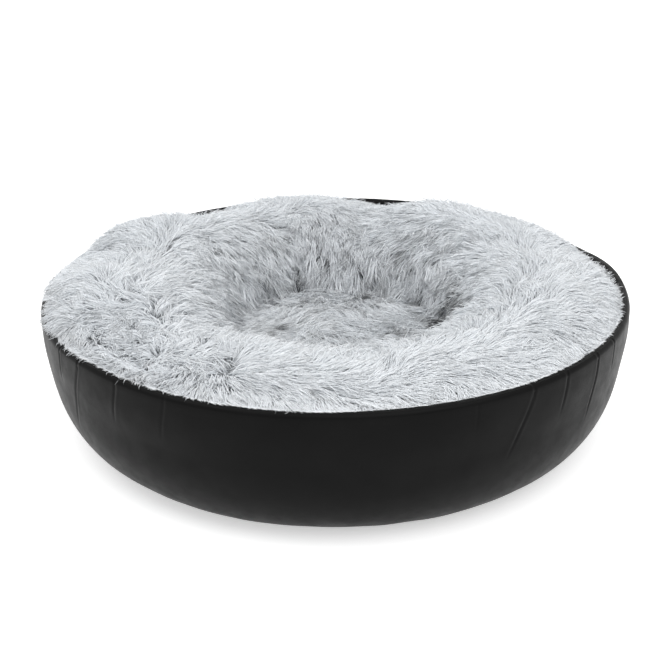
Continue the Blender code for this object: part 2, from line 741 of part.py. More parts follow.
def make_centre(parent):
    """The floor of the well: a thick pad and the fur on it."""
    top = FUR_BOTTOM - SEAM_GAP
    crown = WELL_FLOOR_CROWN
    pad = [
        (0.0, top + crown),
        (PAD_RADIUS / 3, top + crown * 3 / 4),
        (PAD_RADIUS * 2 / 3, top),
        (PAD_RADIUS - crown, top),
        (PAD_RADIUS, top - crown),
        (PAD_RADIUS, PAD_BOTTOM + crown),
        (PAD_RADIUS - crown, PAD_BOTTOM),
        (0.0, PAD_BOTTOM),
    ]
    turned("centre_fill", pad, FIBRE, parent, ring=False)
    radius = WELL_RADIUS - SEAM_GAP
    fur = [
        (0.0, WELL_FLOOR_HEIGHT + crown),
        (PAD_RADIUS / 3, WELL_FLOOR_HEIGHT + crown * 3 / 4),
        (PAD_RADIUS * 2 / 3, WELL_FLOOR_HEIGHT),
        (radius, WELL_FLOOR_HEIGHT - crown),
        (radius, FUR_BOTTOM),
        (PAD_RADIUS * 2 / 3, FUR_BOTTOM),
        (PAD_RADIUS / 3, FUR_BOTTOM + crown * 3 / 4),
        (0.0, FUR_BOTTOM + crown),
    ]
    turned("centre_cover", fur, FUR, parent, ring=False)


def make_cushion_base(parent):
    """Cloth under the cushion, up the inside of the bowl to the fur's seam."""
    shares = seat_shares()
    outer = [seat_point(share, 0.0) for share in reversed(shares)]
    inner = [seat_point(share, CUSHION_CLOTH_THICKNESS) for share in shares]
    bottom = LINING_TOP + SEAT_CLEARANCE
    profile = [(0.0, bottom + CUSHION_CLOTH_THICKNESS)] + inner + outer + [(0.0, bottom)]
    turned("cushion_base", profile, CLOTH, parent, ring=False)


make_outer_cover()
make_wall_foam()
make_inner_lining()
make_base()
make_rim()
make_zip_track()

slide_joint = add_empty("zip_slide_joint", (0.0, 0.0, 0.0))
make_zip_slider(slide_joint)
puller_joint = add_empty("zip_puller_joint", bridge_point(), slide_joint)
make_zip_pull(puller_joint)

lift_joint = add_empty("cushion_lift_joint", (0.0, 0.0, 0.0))
make_bolster_cover(lift_joint)
make_bolster_fill(lift_joint)
make_centre(lift_joint)
make_cushion_base(lift_joint)

print("slider rests at", round(SLIDER_DEG, 3), "degrees and travels", round(SLIDER_TRAVEL_DEG, 3))
print("bridge bar at", [round(value, 6) for value in bridge_point()])
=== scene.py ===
"""Looks of the round dog bed: a leatherette bowl, a zip and a long-haired fur cushion.

Metres, +Z up, -Y is the front. Angles round the bed are in degrees from +X towards +Y.
"""
import math

import bmesh
import bpy
import numpy as np
from mathutils import Matrix, Vector
from mathutils.bvhtree import BVHTree
from mathutils.kdtree import KDTree


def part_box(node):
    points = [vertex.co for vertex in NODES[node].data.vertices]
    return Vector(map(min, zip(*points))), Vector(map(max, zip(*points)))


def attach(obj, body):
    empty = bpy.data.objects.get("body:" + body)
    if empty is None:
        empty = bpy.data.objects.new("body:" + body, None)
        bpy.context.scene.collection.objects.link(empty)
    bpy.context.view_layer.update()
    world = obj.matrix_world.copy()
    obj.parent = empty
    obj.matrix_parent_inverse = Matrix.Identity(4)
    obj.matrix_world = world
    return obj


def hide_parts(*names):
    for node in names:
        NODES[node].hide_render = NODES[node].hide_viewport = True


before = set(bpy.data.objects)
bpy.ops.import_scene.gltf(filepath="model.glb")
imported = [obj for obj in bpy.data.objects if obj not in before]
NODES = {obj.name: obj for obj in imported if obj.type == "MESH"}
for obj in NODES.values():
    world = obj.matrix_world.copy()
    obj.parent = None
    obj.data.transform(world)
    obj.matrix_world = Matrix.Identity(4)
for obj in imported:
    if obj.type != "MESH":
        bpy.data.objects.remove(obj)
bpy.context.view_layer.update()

# The bowl's sizes, from the frame and as in the part
SEAM_GAP = 0.0003
RIM_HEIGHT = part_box("rim_binding")[1].z
BED_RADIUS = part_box("rim_binding")[1].x
WALL_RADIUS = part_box("outer_cover")[1].x
WALL_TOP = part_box("outer_cover")[1].z
COVER_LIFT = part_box("outer_cover")[0].z
BASE_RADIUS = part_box("base_panel")[1].x + SEAM_GAP
WALL_FULLNESS = 2.4
COVER_THICKNESS = 0.0020
BINDING_THICKNESS = 0.0024
BINDING_HEM = 0.0030
RIM_WIDTH = 0.0124
RIM_CENTRE_RADIUS = BED_RADIUS - RIM_WIDTH / 2
RIM_CENTRE_HEIGHT = RIM_HEIGHT - RIM_WIDTH / 2
FOAM_DEPTH = COVER_THICKNESS + SEAM_GAP
FOAM_BASE_THICKNESS = 0.0160
FOAM_RIM_THICKNESS = 0.0029
LINING_THICKNESS = 0.0015
SEAT_CLEARANCE = 0.0008
LINING_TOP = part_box("cushion_base")[0].z - SEAT_CLEARANCE

# The cushion's sizes, from the frame and as in the part
CUSHION_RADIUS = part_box("bolster_cover")[1].x
WELL_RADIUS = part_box("centre_cover")[1].x + SEAM_GAP
WELL_FLOOR_CROWN = 0.0040
WELL_FLOOR_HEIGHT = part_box("centre_cover")[1].z - WELL_FLOOR_CROWN
CUSHION_SEAM_HEIGHT = 0.118
CREST_RADIUS = 0.237
CREST_HEIGHT = 0.205
FRONT_SAG = 0.022
SHOULDER_HEIGHT = 0.153
FUR_THICKNESS = 0.018
TUCKED_FUR_THICKNESS = 0.0040
FILL_CLEARANCE = 0.0035
CUSHION_CLOTH_THICKNESS = 0.0015
PAD_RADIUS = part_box("centre_fill")[1].x
DIP_DEPTH = 0.010
DIP_WIDTH_DEG = 13.0
BULGE_DEPTH = 0.007
BULGE_REACH = 0.080
FRONT_DEG = 268.0
FRONT_WIDTH_DEG = 55.0
FRONT_OPENING = 0.010
SIDE_DEG = 348.0
SIDE_WIDTH_DEG = 20.0
SIDE_OPENING = 0.012
DIPS_DEG_AND_SHARES = (
    (18, 0.75), (80, 1.0), (116, 0.85), (171, 0.75), (222, 0.8), (268, 0.45), (318, 0.6),
)

# The zip's place
ZIP_HEIGHT = 0.045
ZIP_SLOT_WIDTH = 0.018
ZIP_FROM_DEG = 30.0
ZIP_TO_DEG = 150.0

# The photograph's camera, fitted to the bowl's outline
PHOTO_PIXELS = 670
FOCAL_PIXELS = 1123.0
CAMERA_DISTANCE = 1.4
CAMERA_ELEVATION_DEG = 23.84
CAMERA_ROLL_DEG = -0.51
AIM_X = -0.0007
AIM_Z = 0.0929


# Small tools
def grey(value):
    return (value, value, value)


def new_object(name, mesh, material, body):
    obj = bpy.data.objects.new(name, mesh)
    bpy.context.scene.collection.objects.link(obj)
    mesh.materials.clear()
    mesh.materials.append(material)
    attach(obj, body)
    return obj


def grid_mesh(name, points, wrap_rows=False, wrap_columns=False, keep=None):
    """A mesh over a grid of points (rows, columns, 3), smooth shaded. keep is a mask of its faces."""
    rows, columns = points.shape[:2]
    numbers = np.arange(rows * columns).reshape(rows, columns)
    if wrap_rows:
        numbers = np.vstack([numbers, numbers[:1]])
    if wrap_columns:
        numbers = np.hstack([numbers, numbers[:, :1]])
    quads = np.stack([numbers[:-1, :-1], numbers[:-1, 1:], numbers[1:, 1:], numbers[1:, :-1]], -1)
    if keep is not None:
        quads = quads[keep]
    mesh = bpy.data.meshes.new(name)
    places = points.reshape(-1, 3).tolist()
    mesh.from_pydata(places, [], quads.reshape(-1, 4).tolist(), shade_flat=False)
    mesh.update()
    return mesh


def weld(mesh, distance=1e-6):
    bm = bmesh.new()
    bm.from_mesh(mesh)
    bmesh.ops.remove_doubles(bm, verts=bm.verts, dist=distance)
    bmesh.ops.recalc_face_normals(bm, faces=bm.faces)
    bm.to_mesh(mesh)
    bm.free()
    return mesh


def polar(r, z, angles_deg):
    """Points (place, angle, 3) of a profile turned round the bed; r and z may vary with the angle."""
    turn = np.radians(np.asarray(angles_deg))[None, :]
    r = np.asarray(r, float)
    z = np.asarray(z, float)
    r = r[:, None] if r.ndim == 1 else r
    z = z[:, None] if z.ndim == 1 else z
    return np.stack([r * np.cos(turn), r * np.sin(turn), z + 0 * turn], -1)


def smooth_step(share):
    share = np.clip(share, 0.0, 1.0)
    return share * share * (3 - 2 * share)


def smooth_noise(points, wavelength, seed, waves=12):
    """A smooth value of about -1 to 1 at each point: plane waves of about one wavelength, added."""
    rng = np.random.default_rng(seed)
    directions = rng.normal(size=(waves, 3))
    directions /= np.linalg.norm(directions, axis=1)[:, None]
    directions *= 2 * math.pi / (wavelength * rng.uniform(0.7, 1.4, waves))[:, None]
    phases = rng.uniform(0, 2 * math.pi, waves)
    return np.sin(points @ directions.T + phases).sum(-1) / math.sqrt(waves)


def unit(vectors):
    return vectors / np.maximum(np.linalg.norm(vectors, axis=-1, keepdims=True), 1e-12)


def angle_apart(angles_deg, place_deg):
    return (np.asarray(angles_deg) - place_deg + 180) % 360 - 180


def bell(angles_deg, place_deg, width_deg, power=2):
    """One at a place round the bed, falling to nothing beyond a width; a higher power falls later."""
    return np.exp(-(angle_apart(angles_deg, place_deg) / width_deg) ** power)


def bells(angles_deg, table, base=0.0):
    """A value round the bed: a base, and a bell at each (place, width, amount) of a table."""
    total = np.full_like(np.asarray(angles_deg, float), base)
    for place, width, amount in table:
        total += amount * bell(angles_deg, place, width)
    return total


def spots(x, y, table):
    """A value over the plan: a round bell at each (angle, radius, width, amount) of a table."""
    total = np.zeros_like(x)
    for angle, radius, width, amount in table:
        turn = math.radians(angle)
        away = np.hypot(x - radius * math.cos(turn), y - radius * math.sin(turn)) / width
        total += amount * np.exp(-away ** 2)
    return total


def ways_round(angles_deg):
    """Unit vectors round the bed."""
    turn = np.radians(angles_deg)
    return np.stack([-np.sin(turn), np.cos(turn), 0 * turn], -1)


def angles_of(points):
    """The angle round the bed of each point, in degrees."""
    return np.degrees(np.arctan2(points[..., 1], points[..., 0]))


# Materials
class Nodes:
    """A short way to write a node material: each call adds a node and returns it."""

    def __init__(self, name):
        self.material = bpy.data.materials.new(name)
        self.material.use_nodes = True
        self.tree = self.material.node_tree
        self.shader = self.tree.nodes["Principled BSDF"]

    def add(self, kind, inputs=None, **settings):
        node = self.tree.nodes.new(kind)
        for key, value in settings.items():
            setattr(node, key, value)
        for key, value in (inputs or {}).items():
            self.put(node.inputs[key], value)
        return node

    def put(self, socket, value):
        if isinstance(value, bpy.types.NodeSocket):
            self.tree.links.new(value, socket)
        else:
            socket.default_value = value

    def principled(self, **inputs):
        for key, value in inputs.items():
            self.put(self.shader.inputs[key.replace("_", " ")], value)

    def place(self):
        return self.add("ShaderNodeTexCoord").outputs["Object"]

    def noise(self, scale, detail=3.0, roughness=0.5, vector=None):
        vector = vector or self.place()
        inputs = {"Vector": vector, "Scale": scale, "Detail": detail, "Roughness": roughness}
        return self.add("ShaderNodeTexNoise", inputs).outputs["Fac"]

    def ramp(self, value, stops):
        """A colour ramp through (place, colour) stops."""
        node = self.add("ShaderNodeValToRGB", {"Fac": value})
        elements = node.color_ramp.elements
        while len(elements) < len(stops):
            elements.new(0.5)
        for element, (place, colour) in zip(elements, stops):
            element.position = place
            element.color = (*colour, 1.0)
        return node.outputs["Color"]

    def span(self, value, low, high, from_low=0.0, from_high=1.0):
        inputs = {"Value": value, "From Min": from_low, "From Max": from_high}
        inputs |= {"To Min": low, "To Max": high}
        return self.add("ShaderNodeMapRange", inputs).outputs["Result"]

    def math(self, operation, first, second=0.0):
        node = self.add("ShaderNodeMath", operation=operation)
        self.put(node.inputs[0], first)
        self.put(node.inputs[1], second)
        return node.outputs["Value"]

    def bump(self, height, distance, strength=1.0, normal=None):
        inputs = {"Height": height, "Distance": distance, "Strength": strength}
        if normal is not None:
            inputs["Normal"] = normal
        return self.add("ShaderNodeBump", inputs).outputs["Normal"]


def leather_material(name, low, high, roughness):
    """Black leatherette: fine pebbled grain, faint cloudiness and a soft satin."""
    nodes = Nodes(name)
    cloud = nodes.noise(22.0, 4.0)
    grain = nodes.add("ShaderNodeTexVoronoi", {"Vector": nodes.place(), "Scale": 900.0})
    fine = nodes.noise(2600.0, 2.0)
    worn = nodes.noise(60.0, 5.0, 0.6)
    nodes.principled(
        Base_Color=nodes.ramp(cloud, [(0.3, low), (0.7, high)]),
        Roughness=nodes.span(worn, roughness - 0.05, roughness + 0.07, 0.3, 0.7),
        Specular_IOR_Level=0.08,
        Normal=nodes.bump(
            nodes.math("ADD", grain.outputs["Distance"], fine), 0.00006, 0.5,
            nodes.bump(worn, 0.0006, 0.25),
        ),
    )
    return nodes.material


def cloth_material(name, low, high, thread, roughness=0.9):
    """Plain close cloth: threads a given distance apart, a little uneven."""
    nodes = Nodes(name)
    inputs = {"Vector": nodes.place(), "Scale": 1 / thread}
    threads = nodes.add("ShaderNodeTexVoronoi", inputs).outputs["Distance"]
    cloud = nodes.noise(35.0, 4.0)
    fine = nodes.noise(0.4 / thread, 3.0)
    nodes.principled(
        Base_Color=nodes.ramp(nodes.math("MULTIPLY", fine, cloud), [(0.12, low), (0.42, high)]),
        Roughness=nodes.span(cloud, roughness - 0.06, roughness + 0.06, 0.3, 0.7),
        Specular_IOR_Level=0.15,
        Sheen_Weight=0.15,
        Normal=nodes.bump(threads, thread / 4, 0.7, nodes.bump(cloud, 0.001, 0.2)),
    )
    return nodes.material


def foam_material(name, low, high):
    """Open foam or fibre: cells of a millimetre or so."""
    nodes = Nodes(name)
    inputs = {"Vector": nodes.place(), "Scale": 800.0}
    cells = nodes.add("ShaderNodeTexVoronoi", inputs).outputs["Distance"]
    cloud = nodes.noise(18.0, 5.0)
    nodes.principled(
        Base_Color=nodes.ramp(cloud, [(0.3, low), (0.7, high)]),
        Roughness=nodes.span(cells, 0.88, 0.98),
        Specular_IOR_Level=0.1,
        Normal=nodes.bump(cells, 0.0006, 0.7, nodes.bump(cloud, 0.002, 0.3)),
    )
    return nodes.material


def metal_material(name, low, high):
    """Plated metal with fine brushing and rubbed places."""
    nodes = Nodes(name)
    rubbed = nodes.noise(400.0, 5.0, 0.6)
    brushed = nodes.noise(3500.0, 2.0)
    nodes.principled(
        Base_Color=nodes.ramp(rubbed, [(0.35, low), (0.7, high)]),
        Metallic=1.0,
        Roughness=nodes.span(rubbed, 0.24, 0.42, 0.3, 0.7),
        Normal=nodes.bump(brushed, 0.00003, 0.4),
    )
    return nodes.material


def plastic_material(name, low, high, roughness):
    nodes = Nodes(name)
    cloud = nodes.noise(300.0, 4.0)
    nodes.principled(
        Base_Color=nodes.ramp(cloud, [(0.3, low), (0.7, high)]),
        Roughness=nodes.span(cloud, roughness - 0.05, roughness + 0.08, 0.3, 0.7),
        Normal=nodes.bump(cloud, 0.00004, 0.4),
    )
    return nodes.material


def fur_material(name):
    """Hair coloured by its own map: x is the lock's shade, lowered by painted shade in some places; y
    runs from root to tip, and the dark root is partly painted shade deep between the hairs.
    """
    nodes = Nodes(name)
    hair_map = nodes.add("ShaderNodeUVMap", uv_map=HAIR_MAP).outputs["UV"]
    split = nodes.add("ShaderNodeSeparateXYZ", {"Vector": hair_map})
    along = nodes.ramp(split.outputs["Y"], FUR_RAMP)
    shade = nodes.ramp(split.outputs["X"], FUR_SHADES)
    mixed = nodes.add("ShaderNodeMix", {"Factor": 1.0}, data_type="RGBA", blend_type="MULTIPLY")
    nodes.put(mixed.inputs["A"], along)
    nodes.put(mixed.inputs["B"], shade)
    nodes.principled(
        Base_Color=mixed.outputs["Result"],
        Roughness=nodes.span(split.outputs["Y"], 0.95, 0.70),
        Specular_IOR_Level=0.2,
        Sheen_Weight=0.4,
    )
    return nodes.material


HAIR_MAP = "OFBake"
# Root to tip: the dark root is partly the fur's own darker root and partly painted shade deep between
# the hairs; the tip is lightest.
FUR_RAMP = [
    (0.00, (0.26, 0.28, 0.30)),
    (0.28, (0.82, 0.85, 0.88)),
    (0.70, (0.92, 0.95, 0.98)),
    (1.00, (0.94, 0.965, 0.99)),
]
# Shade to grey: the lock's own tone near the top of the range, and down to 0.30 where painted shade
# lowers it.
FUR_SHADES = [(0.0, grey(0.30)), (0.30, grey(0.78)), (0.60, grey(0.95)), (0.85, grey(1.0))]

LEATHERETTE = leather_material("black_leatherette", grey(0.0022), grey(0.0034), 0.40)
# The binding is a little lighter than the cover: painted light on the rim's rounded top.
BINDING = leather_material("black_binding", grey(0.0040), grey(0.0060), 0.40)
LINING = cloth_material("black_lining", grey(0.012), grey(0.030), 0.0006)
NON_SLIP = cloth_material("non_slip_cloth", grey(0.014), grey(0.040), 0.0010)
BOARD = cloth_material("grey_board", (0.22, 0.20, 0.18), (0.34, 0.32, 0.28), 0.0030)
FOAM = foam_material("white_foam", (0.74, 0.71, 0.62), (0.82, 0.80, 0.72))
FIBRE = foam_material("fibre_filling", grey(0.80), grey(0.90))
CLOTH = cloth_material("grey_cloth", (0.22, 0.225, 0.235), (0.36, 0.37, 0.385), 0.0008)
# The backing cloth is dark: painted shade deep between the hairs.
FUR_BACKING_PAINTED_SHADE = cloth_material("fur_backing", (0.15, 0.16, 0.17), (0.22, 0.23, 0.24), 0.0020)
TAPE = cloth_material("black_tape", grey(0.016), grey(0.036), 0.0007)
COIL = plastic_material("black_coil", grey(0.026), grey(0.042), 0.34)
METAL = metal_material("dark_nickel", grey(0.16), grey(0.30))
THREAD = plastic_material("black_thread", grey(0.022), grey(0.045), 0.50)
FUR = fur_material("grey_fur")


# The bowl
def bowl_profile(shares, depth):
    """(r, z) on the wall's profile at shares of its quarter turn, a depth in from the outer face."""
    turn = np.asarray(shares, float) * math.pi / 2
    across = np.sin(turn).clip(0)
    down = np.cos(turn).clip(0)
    width = WALL_RADIUS - BASE_RADIUS
    height = WALL_TOP - COVER_LIFT
    power = 2 / WALL_FULLNESS
    r = BASE_RADIUS + width * across ** power
    z = COVER_LIFT + height * (1 - down ** power)
    slope = 2 - power
    out = across ** slope / width
    low = down ** slope / height
    length = np.hypot(out, low)
    return r - depth * out / length, z + depth * low / length


def bowl_share(height):
    fall = 1 - (height - COVER_LIFT) / (WALL_TOP - COVER_LIFT)
    return math.acos(fall ** (WALL_FULLNESS / 2)) / (math.pi / 2)


def rim_wave(angles_deg):
    """How far the soft rim stands above or below its plane, where the photograph shows it wander."""
    return bells(angles_deg, RIM_WAVES)


def fullness(angles_deg, shares):
    """How far the stuffed wall stands outside its plain profile, over a grid (place, angle)."""
    zip_middle = (ZIP_FROM_DEG + ZIP_TO_DEG) / 2
    from_zip = np.abs(angle_apart(angles_deg, zip_middle))
    zip_side = smooth_step((ZIP_FLAT_DEG - from_zip) / ZIP_FADE_DEG)
    body = np.sin(np.pi * shares.clip(0, 1) ** 0.8) ** 0.8
    top = smooth_step((shares - 0.80) / 0.20)
    return (FULL_WALL * body + FULL_TOP * top)[:, None] * (1 - zip_side)[None, :]


def crease_field(angles_deg, shares):
    """Depth of the creases that hang from the rim, over a grid (place, angle)."""
    shares = np.asarray(shares)[:, None]
    heights = bowl_profile(shares[:, 0], 0.0)[1][:, None]
    total = np.zeros((len(shares), len(angles_deg)))
    for top_deg, low_deg, low_height, depth in CREASES:
        fall = np.clip((WALL_TOP - heights) / (WALL_TOP - low_height), 0, 1.6)
        centre = top_deg + (low_deg - top_deg) * fall
        across = np.radians(angle_apart(angles_deg[None, :], 0) - angle_apart(centre, 0)) * WALL_RADIUS
        across = (across + math.pi * WALL_RADIUS) % (2 * math.pi * WALL_RADIUS) - math.pi * WALL_RADIUS
        fade = smooth_step((CREASE_FALL - fall) / 0.6)
        valley = -np.exp(-(across / CREASE_WIDTH) ** 2)
        ridge = 0.32 * np.exp(-((across - 2.4 * CREASE_WIDTH) / (1.6 * CREASE_WIDTH)) ** 2)
        ridge += 0.22 * np.exp(-((across + 2.6 * CREASE_WIDTH) / (2.0 * CREASE_WIDTH)) ** 2)
        total += depth * fade * (valley + ridge)
    return total


RIM_WAVES = ((4, 9, 0.0028), (24, 9, -0.0042), (44, 10, 0.0010), (226, 16, 0.0012), (205, 12, -0.0015))
CREASE_WIDTH = 0.0015
CREASE_FALL = 1.25
CREASE_SIDE_DEG = 1.3
CREASE_STEP_DEG = 0.13
ZIP_FLAT_DEG = 74.0
ZIP_FADE_DEG = 10.0
FULL_WALL = 0.0036
FULL_TOP = BED_RADIUS - WALL_RADIUS + SEAM_GAP
HEM_TUCK = 0.0012
COVER_OVER_RIM_DEG = (10, 20, 30, 40, 50, 60, 68)
CREASES = (
    (212.3, 212.0, 0.128, 0.0005),
    (219.8, 215.4, 0.083, 0.0007),
    (230.7, 229.3, 0.118, 0.0005),
    (241.3, 240.0, 0.118, 0.0003),
    (292.9, 292.7, 0.136, 0.0002),
    (304.0, 300.2, 0.097, 0.0006),
    (312.0, 311.0, 0.124, 0.0005),
    (321.6, 320.1, 0.098, 0.0007),
    (328.8, 328.4, 0.132, 0.0005),
    (20.0, 21.0, 0.110, 0.0007),
    (52.0, 50.5, 0.120, 0.0006),
    (96.0, 97.0, 0.105, 0.0007),
    (141.0, 140.0, 0.115, 0.0006),
    (166.0, 168.0, 0.100, 0.0007),
)


def cover_angles():
    """Columns of the cover: even, with the zip's ends among them, and close together at each crease."""
    angles = list(np.arange(0, 360, 1.0))
    for top_deg, low_deg, _, _ in CREASES:
        low = min(top_deg, low_deg) - CREASE_SIDE_DEG
        high = max(top_deg, low_deg) + CREASE_SIDE_DEG
        angles += list(np.arange(low, high, CREASE_STEP_DEG) % 360)
    return np.unique(np.round(angles, 3))


def make_cover():
    """The leatherette side panel, with its creases and the zip's slot."""
    low = bowl_share(ZIP_HEIGHT - ZIP_SLOT_WIDTH / 2)
    high = bowl_share(ZIP_HEIGHT + ZIP_SLOT_WIDTH / 2)
    shares = np.concatenate([
        np.linspace(0, low, 14, endpoint=False),
        np.linspace(low, high, 5, endpoint=False),
        np.linspace(high, 1, 37),
    ])
    angles = cover_angles()
    r, z = bowl_profile(shares, 0.0)
    points = polar(r, z, angles)
    inward_r, inward_z = bowl_profile(shares, 1.0)
    outward = -(polar(inward_r, inward_z, angles) - points)
    middle = (shares[1:] + shares[:-1])[:, None] / 2
    steps = np.append(angles, 360.0)
    centre = (steps[1:] + steps[:-1])[None, :] / 2
    slot = (middle > low) & (middle < high) & (centre > ZIP_FROM_DEG) & (centre < ZIP_TO_DEG)
    calm = smooth_step(np.abs(shares - (low + high) / 2)[:, None] / 0.22 - 0.4)
    sway = 0.0007 * smooth_noise(points, 0.16, 5) + 0.00035 * smooth_noise(points, 0.05, 6)
    away_from_ends = np.sin(np.pi * shares.clip(0, 1))[:, None] ** 0.5
    lift = crease_field(angles, shares) + sway * away_from_ends * calm
    points = points + outward * lift[..., None]
    grown = 1 + fullness(angles, shares) / r[:, None]
    points[..., :2] *= grown[..., None]
    points[..., 2] += rim_wave(angles)[None, :] * (z[:, None] / WALL_TOP) ** 2
    turns = np.radians(COVER_OVER_RIM_DEG)
    roll = RIM_WIDTH / 2 + SEAM_GAP + lift[-1][None, :]
    over_r = np.cos(turns)[:, None] * roll
    over_z = np.sin(turns)[:, None] * roll + rim_wave(angles)
    over = polar(RIM_CENTRE_RADIUS + over_r, RIM_CENTRE_HEIGHT + over_z, angles)
    points = np.concatenate([points, over])
    slot = np.concatenate([slot, np.zeros((len(turns), len(angles)), bool)])
    mesh = grid_mesh("leatherette_cover", points, wrap_columns=True, keep=~slot)
    obj = new_object("leatherette_cover", mesh, LEATHERETTE, "shell")
    solidify = obj.modifiers.new("thickness", "SOLIDIFY")
    solidify.thickness = COVER_THICKNESS
    solidify.offset = -1.0
    solidify.use_rim = True
    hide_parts("outer_cover")


def make_binding():
    """The leatherette strip folded over the rim, a little gathered by its seam."""
    angles = np.arange(0, 360, 0.5)
    hem = WALL_TOP - BINDING_HEM
    outer = RIM_WIDTH / 2
    inner = outer - BINDING_THICKNESS
    turns = np.linspace(math.pi, 0, 19)
    r = [RIM_CENTRE_RADIUS - outer, *(RIM_CENTRE_RADIUS + outer * np.cos(turns))]
    r.append(RIM_CENTRE_RADIUS + outer - HEM_TUCK)
    z = [hem, *(RIM_CENTRE_HEIGHT + outer * np.sin(turns)), hem]
    back = turns[::-1]
    r += [RIM_CENTRE_RADIUS + inner - HEM_TUCK, *(RIM_CENTRE_RADIUS + inner * np.cos(back))]
    r.append(RIM_CENTRE_RADIUS - inner)
    z += [hem, *(RIM_CENTRE_HEIGHT + inner * np.sin(back)), hem]
    points = polar(r, z, angles)
    fold = smooth_noise(points * (1, 1, 0.15), 0.016, 11) * 0.00022
    fold = fold + smooth_noise(points, 0.05, 12) * 0.0003
    centre = polar([RIM_CENTRE_RADIUS], [RIM_CENTRE_HEIGHT], angles)
    fold *= 1 - smooth_step((np.hypot(points[..., 0], points[..., 1]) - RIM_CENTRE_RADIUS) / outer)
    points = points + unit(points - centre) * fold[..., None]
    points[..., 2] += rim_wave(angles)[None, :]
    mesh = grid_mesh("binding_strip", points[::-1], wrap_rows=True, wrap_columns=True)
    obj = new_object("binding_strip", mesh, BINDING, "shell")
    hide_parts("rim_binding")


# Zip, stitches and seams
def tubes(name, paths, radius, material, body, sides=6):
    """Round threads along paths (count, levels, 3), closed at both ends, in one piece."""
    count, levels = paths.shape[:2]
    way = unit(np.gradient(paths, axis=1))
    side = unit(np.cross(way, np.array([0.31, 0.17, 0.93])))
    up = np.cross(way, side)
    turns = np.arange(sides) * 2 * math.pi / sides
    around = side[:, :, None] * np.cos(turns)[:, None] + up[:, :, None] * np.sin(turns)[:, None]
    points = (paths[:, :, None] + around * radius).reshape(-1, 3)
    faces = []
    for level in range(levels - 1):
        for k in range(sides):
            here = level * sides + k
            beside = level * sides + (k + 1) % sides
            faces.append((here, beside, beside + sides, here + sides))
    caps = [tuple(range(sides))[::-1], tuple(range((levels - 1) * sides, levels * sides))]
    every = []
    for number in range(count):
        first = number * levels * sides
        every += [tuple(first + corner for corner in face) for face in faces + caps]
    mesh = bpy.data.meshes.new(name)
    mesh.from_pydata(points.tolist(), [], every, shade_flat=False)
    mesh.update()
    return new_object(name, mesh, material, body)


def stitch_row(name, line, off, body, closed=False):
    """A row of stitches along a line of points, each a short arch off the surface."""
    if closed:
        line = np.concatenate([line, line[:1]])
        off = np.concatenate([off, off[:1]])
    run = np.concatenate([[0], np.cumsum(np.linalg.norm(np.diff(line, axis=0), axis=1))])
    starts = np.arange(0, run[-1] - STITCH_PITCH, STITCH_PITCH)
    shares = np.linspace(0, 1, 5)
    where = starts[:, None] + STITCH_LENGTH * shares[None, :]
    paths = np.stack([np.interp(where, run, line[:, axis]) for axis in range(3)], -1)
    rise = np.stack([np.interp(where, run, off[:, axis]) for axis in range(3)], -1)
    height = STITCH_RADIUS * (1.4 * np.sin(np.pi * shares) - 0.6)
    paths = paths + rise * height[None, :, None]
    tubes(name, paths, STITCH_RADIUS, THREAD, body)


def cover_line(height, angles):
    """A line round the cover at a height, with its outward unit vectors."""
    share = np.array([bowl_share(height)])
    r, z = bowl_profile(share, 0.0)
    inner_r, inner_z = bowl_profile(share, 1.0)
    line = polar(r, z, angles)[0]
    off = -(polar(inner_r, inner_z, angles)[0] - line)
    line[:, :2] *= (1 + fullness(angles, share)[0] / r[0])[:, None]
    return line, off


def zip_points(angles_deg, up, out):
    """Points in the zip's own axes: up the wall and out of the cover, at angles round the bed."""
    ends = [bowl_share(ZIP_HEIGHT + side * ZIP_SLOT_WIDTH / 2) for side in (-1, 1)]
    r, z = bowl_profile(ends, 0.0)
    run = unit(np.array([r[1] - r[0], z[1] - z[0]]))
    turn = np.radians(angles_deg)
    radial = r.mean() + run[0] * up + run[1] * out
    height = z.mean() + run[1] * up - run[0] * out
    return np.stack([radial * np.cos(turn), radial * np.sin(turn), height + 0 * turn], -1)


def make_zip():
    """The coil's interlocked loops, and the stitches that hold the zip and close the foot's seam."""
    arc = math.degrees(1 / np.hypot(*zip_points(90.0, 0.0, 0.0)[:2]))
    from_deg = ZIP_FROM_DEG + arc * COIL_END_GAP
    to_deg = ZIP_TO_DEG - arc * COIL_END_GAP
    shares = np.linspace(0, 1, 7)
    arch = np.sin(np.pi * shares)
    loops = []
    for side in (-1, 1):
        middles = np.arange(from_deg + (side + 1) * arc * COIL_PITCH / 4, to_deg, arc * COIL_PITCH)
        up = side * (COIL_WIDTH / 2 - COIL_THREAD - (COIL_WIDTH * 0.62) * shares)
        out = COIL_BOTTOM + COIL_THREAD + (COIL_HEIGHT - 2 * COIL_THREAD) * arch
        lean = arc * COIL_PITCH * 0.16 * (shares - 0.5)
        loops.append(zip_points(middles[:, None] + lean[None, :], up[None, :], out[None, :]))
    coil = tubes("zip_loops", np.concatenate(loops), COIL_THREAD, COIL, "shell")
    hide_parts("zip_coil")
    around = np.arange(ZIP_FROM_DEG - 1.2, ZIP_TO_DEG + 1.2, 0.5)
    for name, side in (("zip_stitches_low", -1), ("zip_stitches_high", 1)):
        line, off = cover_line(ZIP_HEIGHT + side * (ZIP_SLOT_WIDTH / 2 + ZIP_SEAM_MARGIN), around)
        stitch_row(name, line, off, "shell")
    line, off = cover_line(COVER_LIFT + FOOT_SEAM_HEIGHT, np.arange(0, 360, 0.5))
    stitch_row("foot_stitches", line, off, "shell", closed=True)


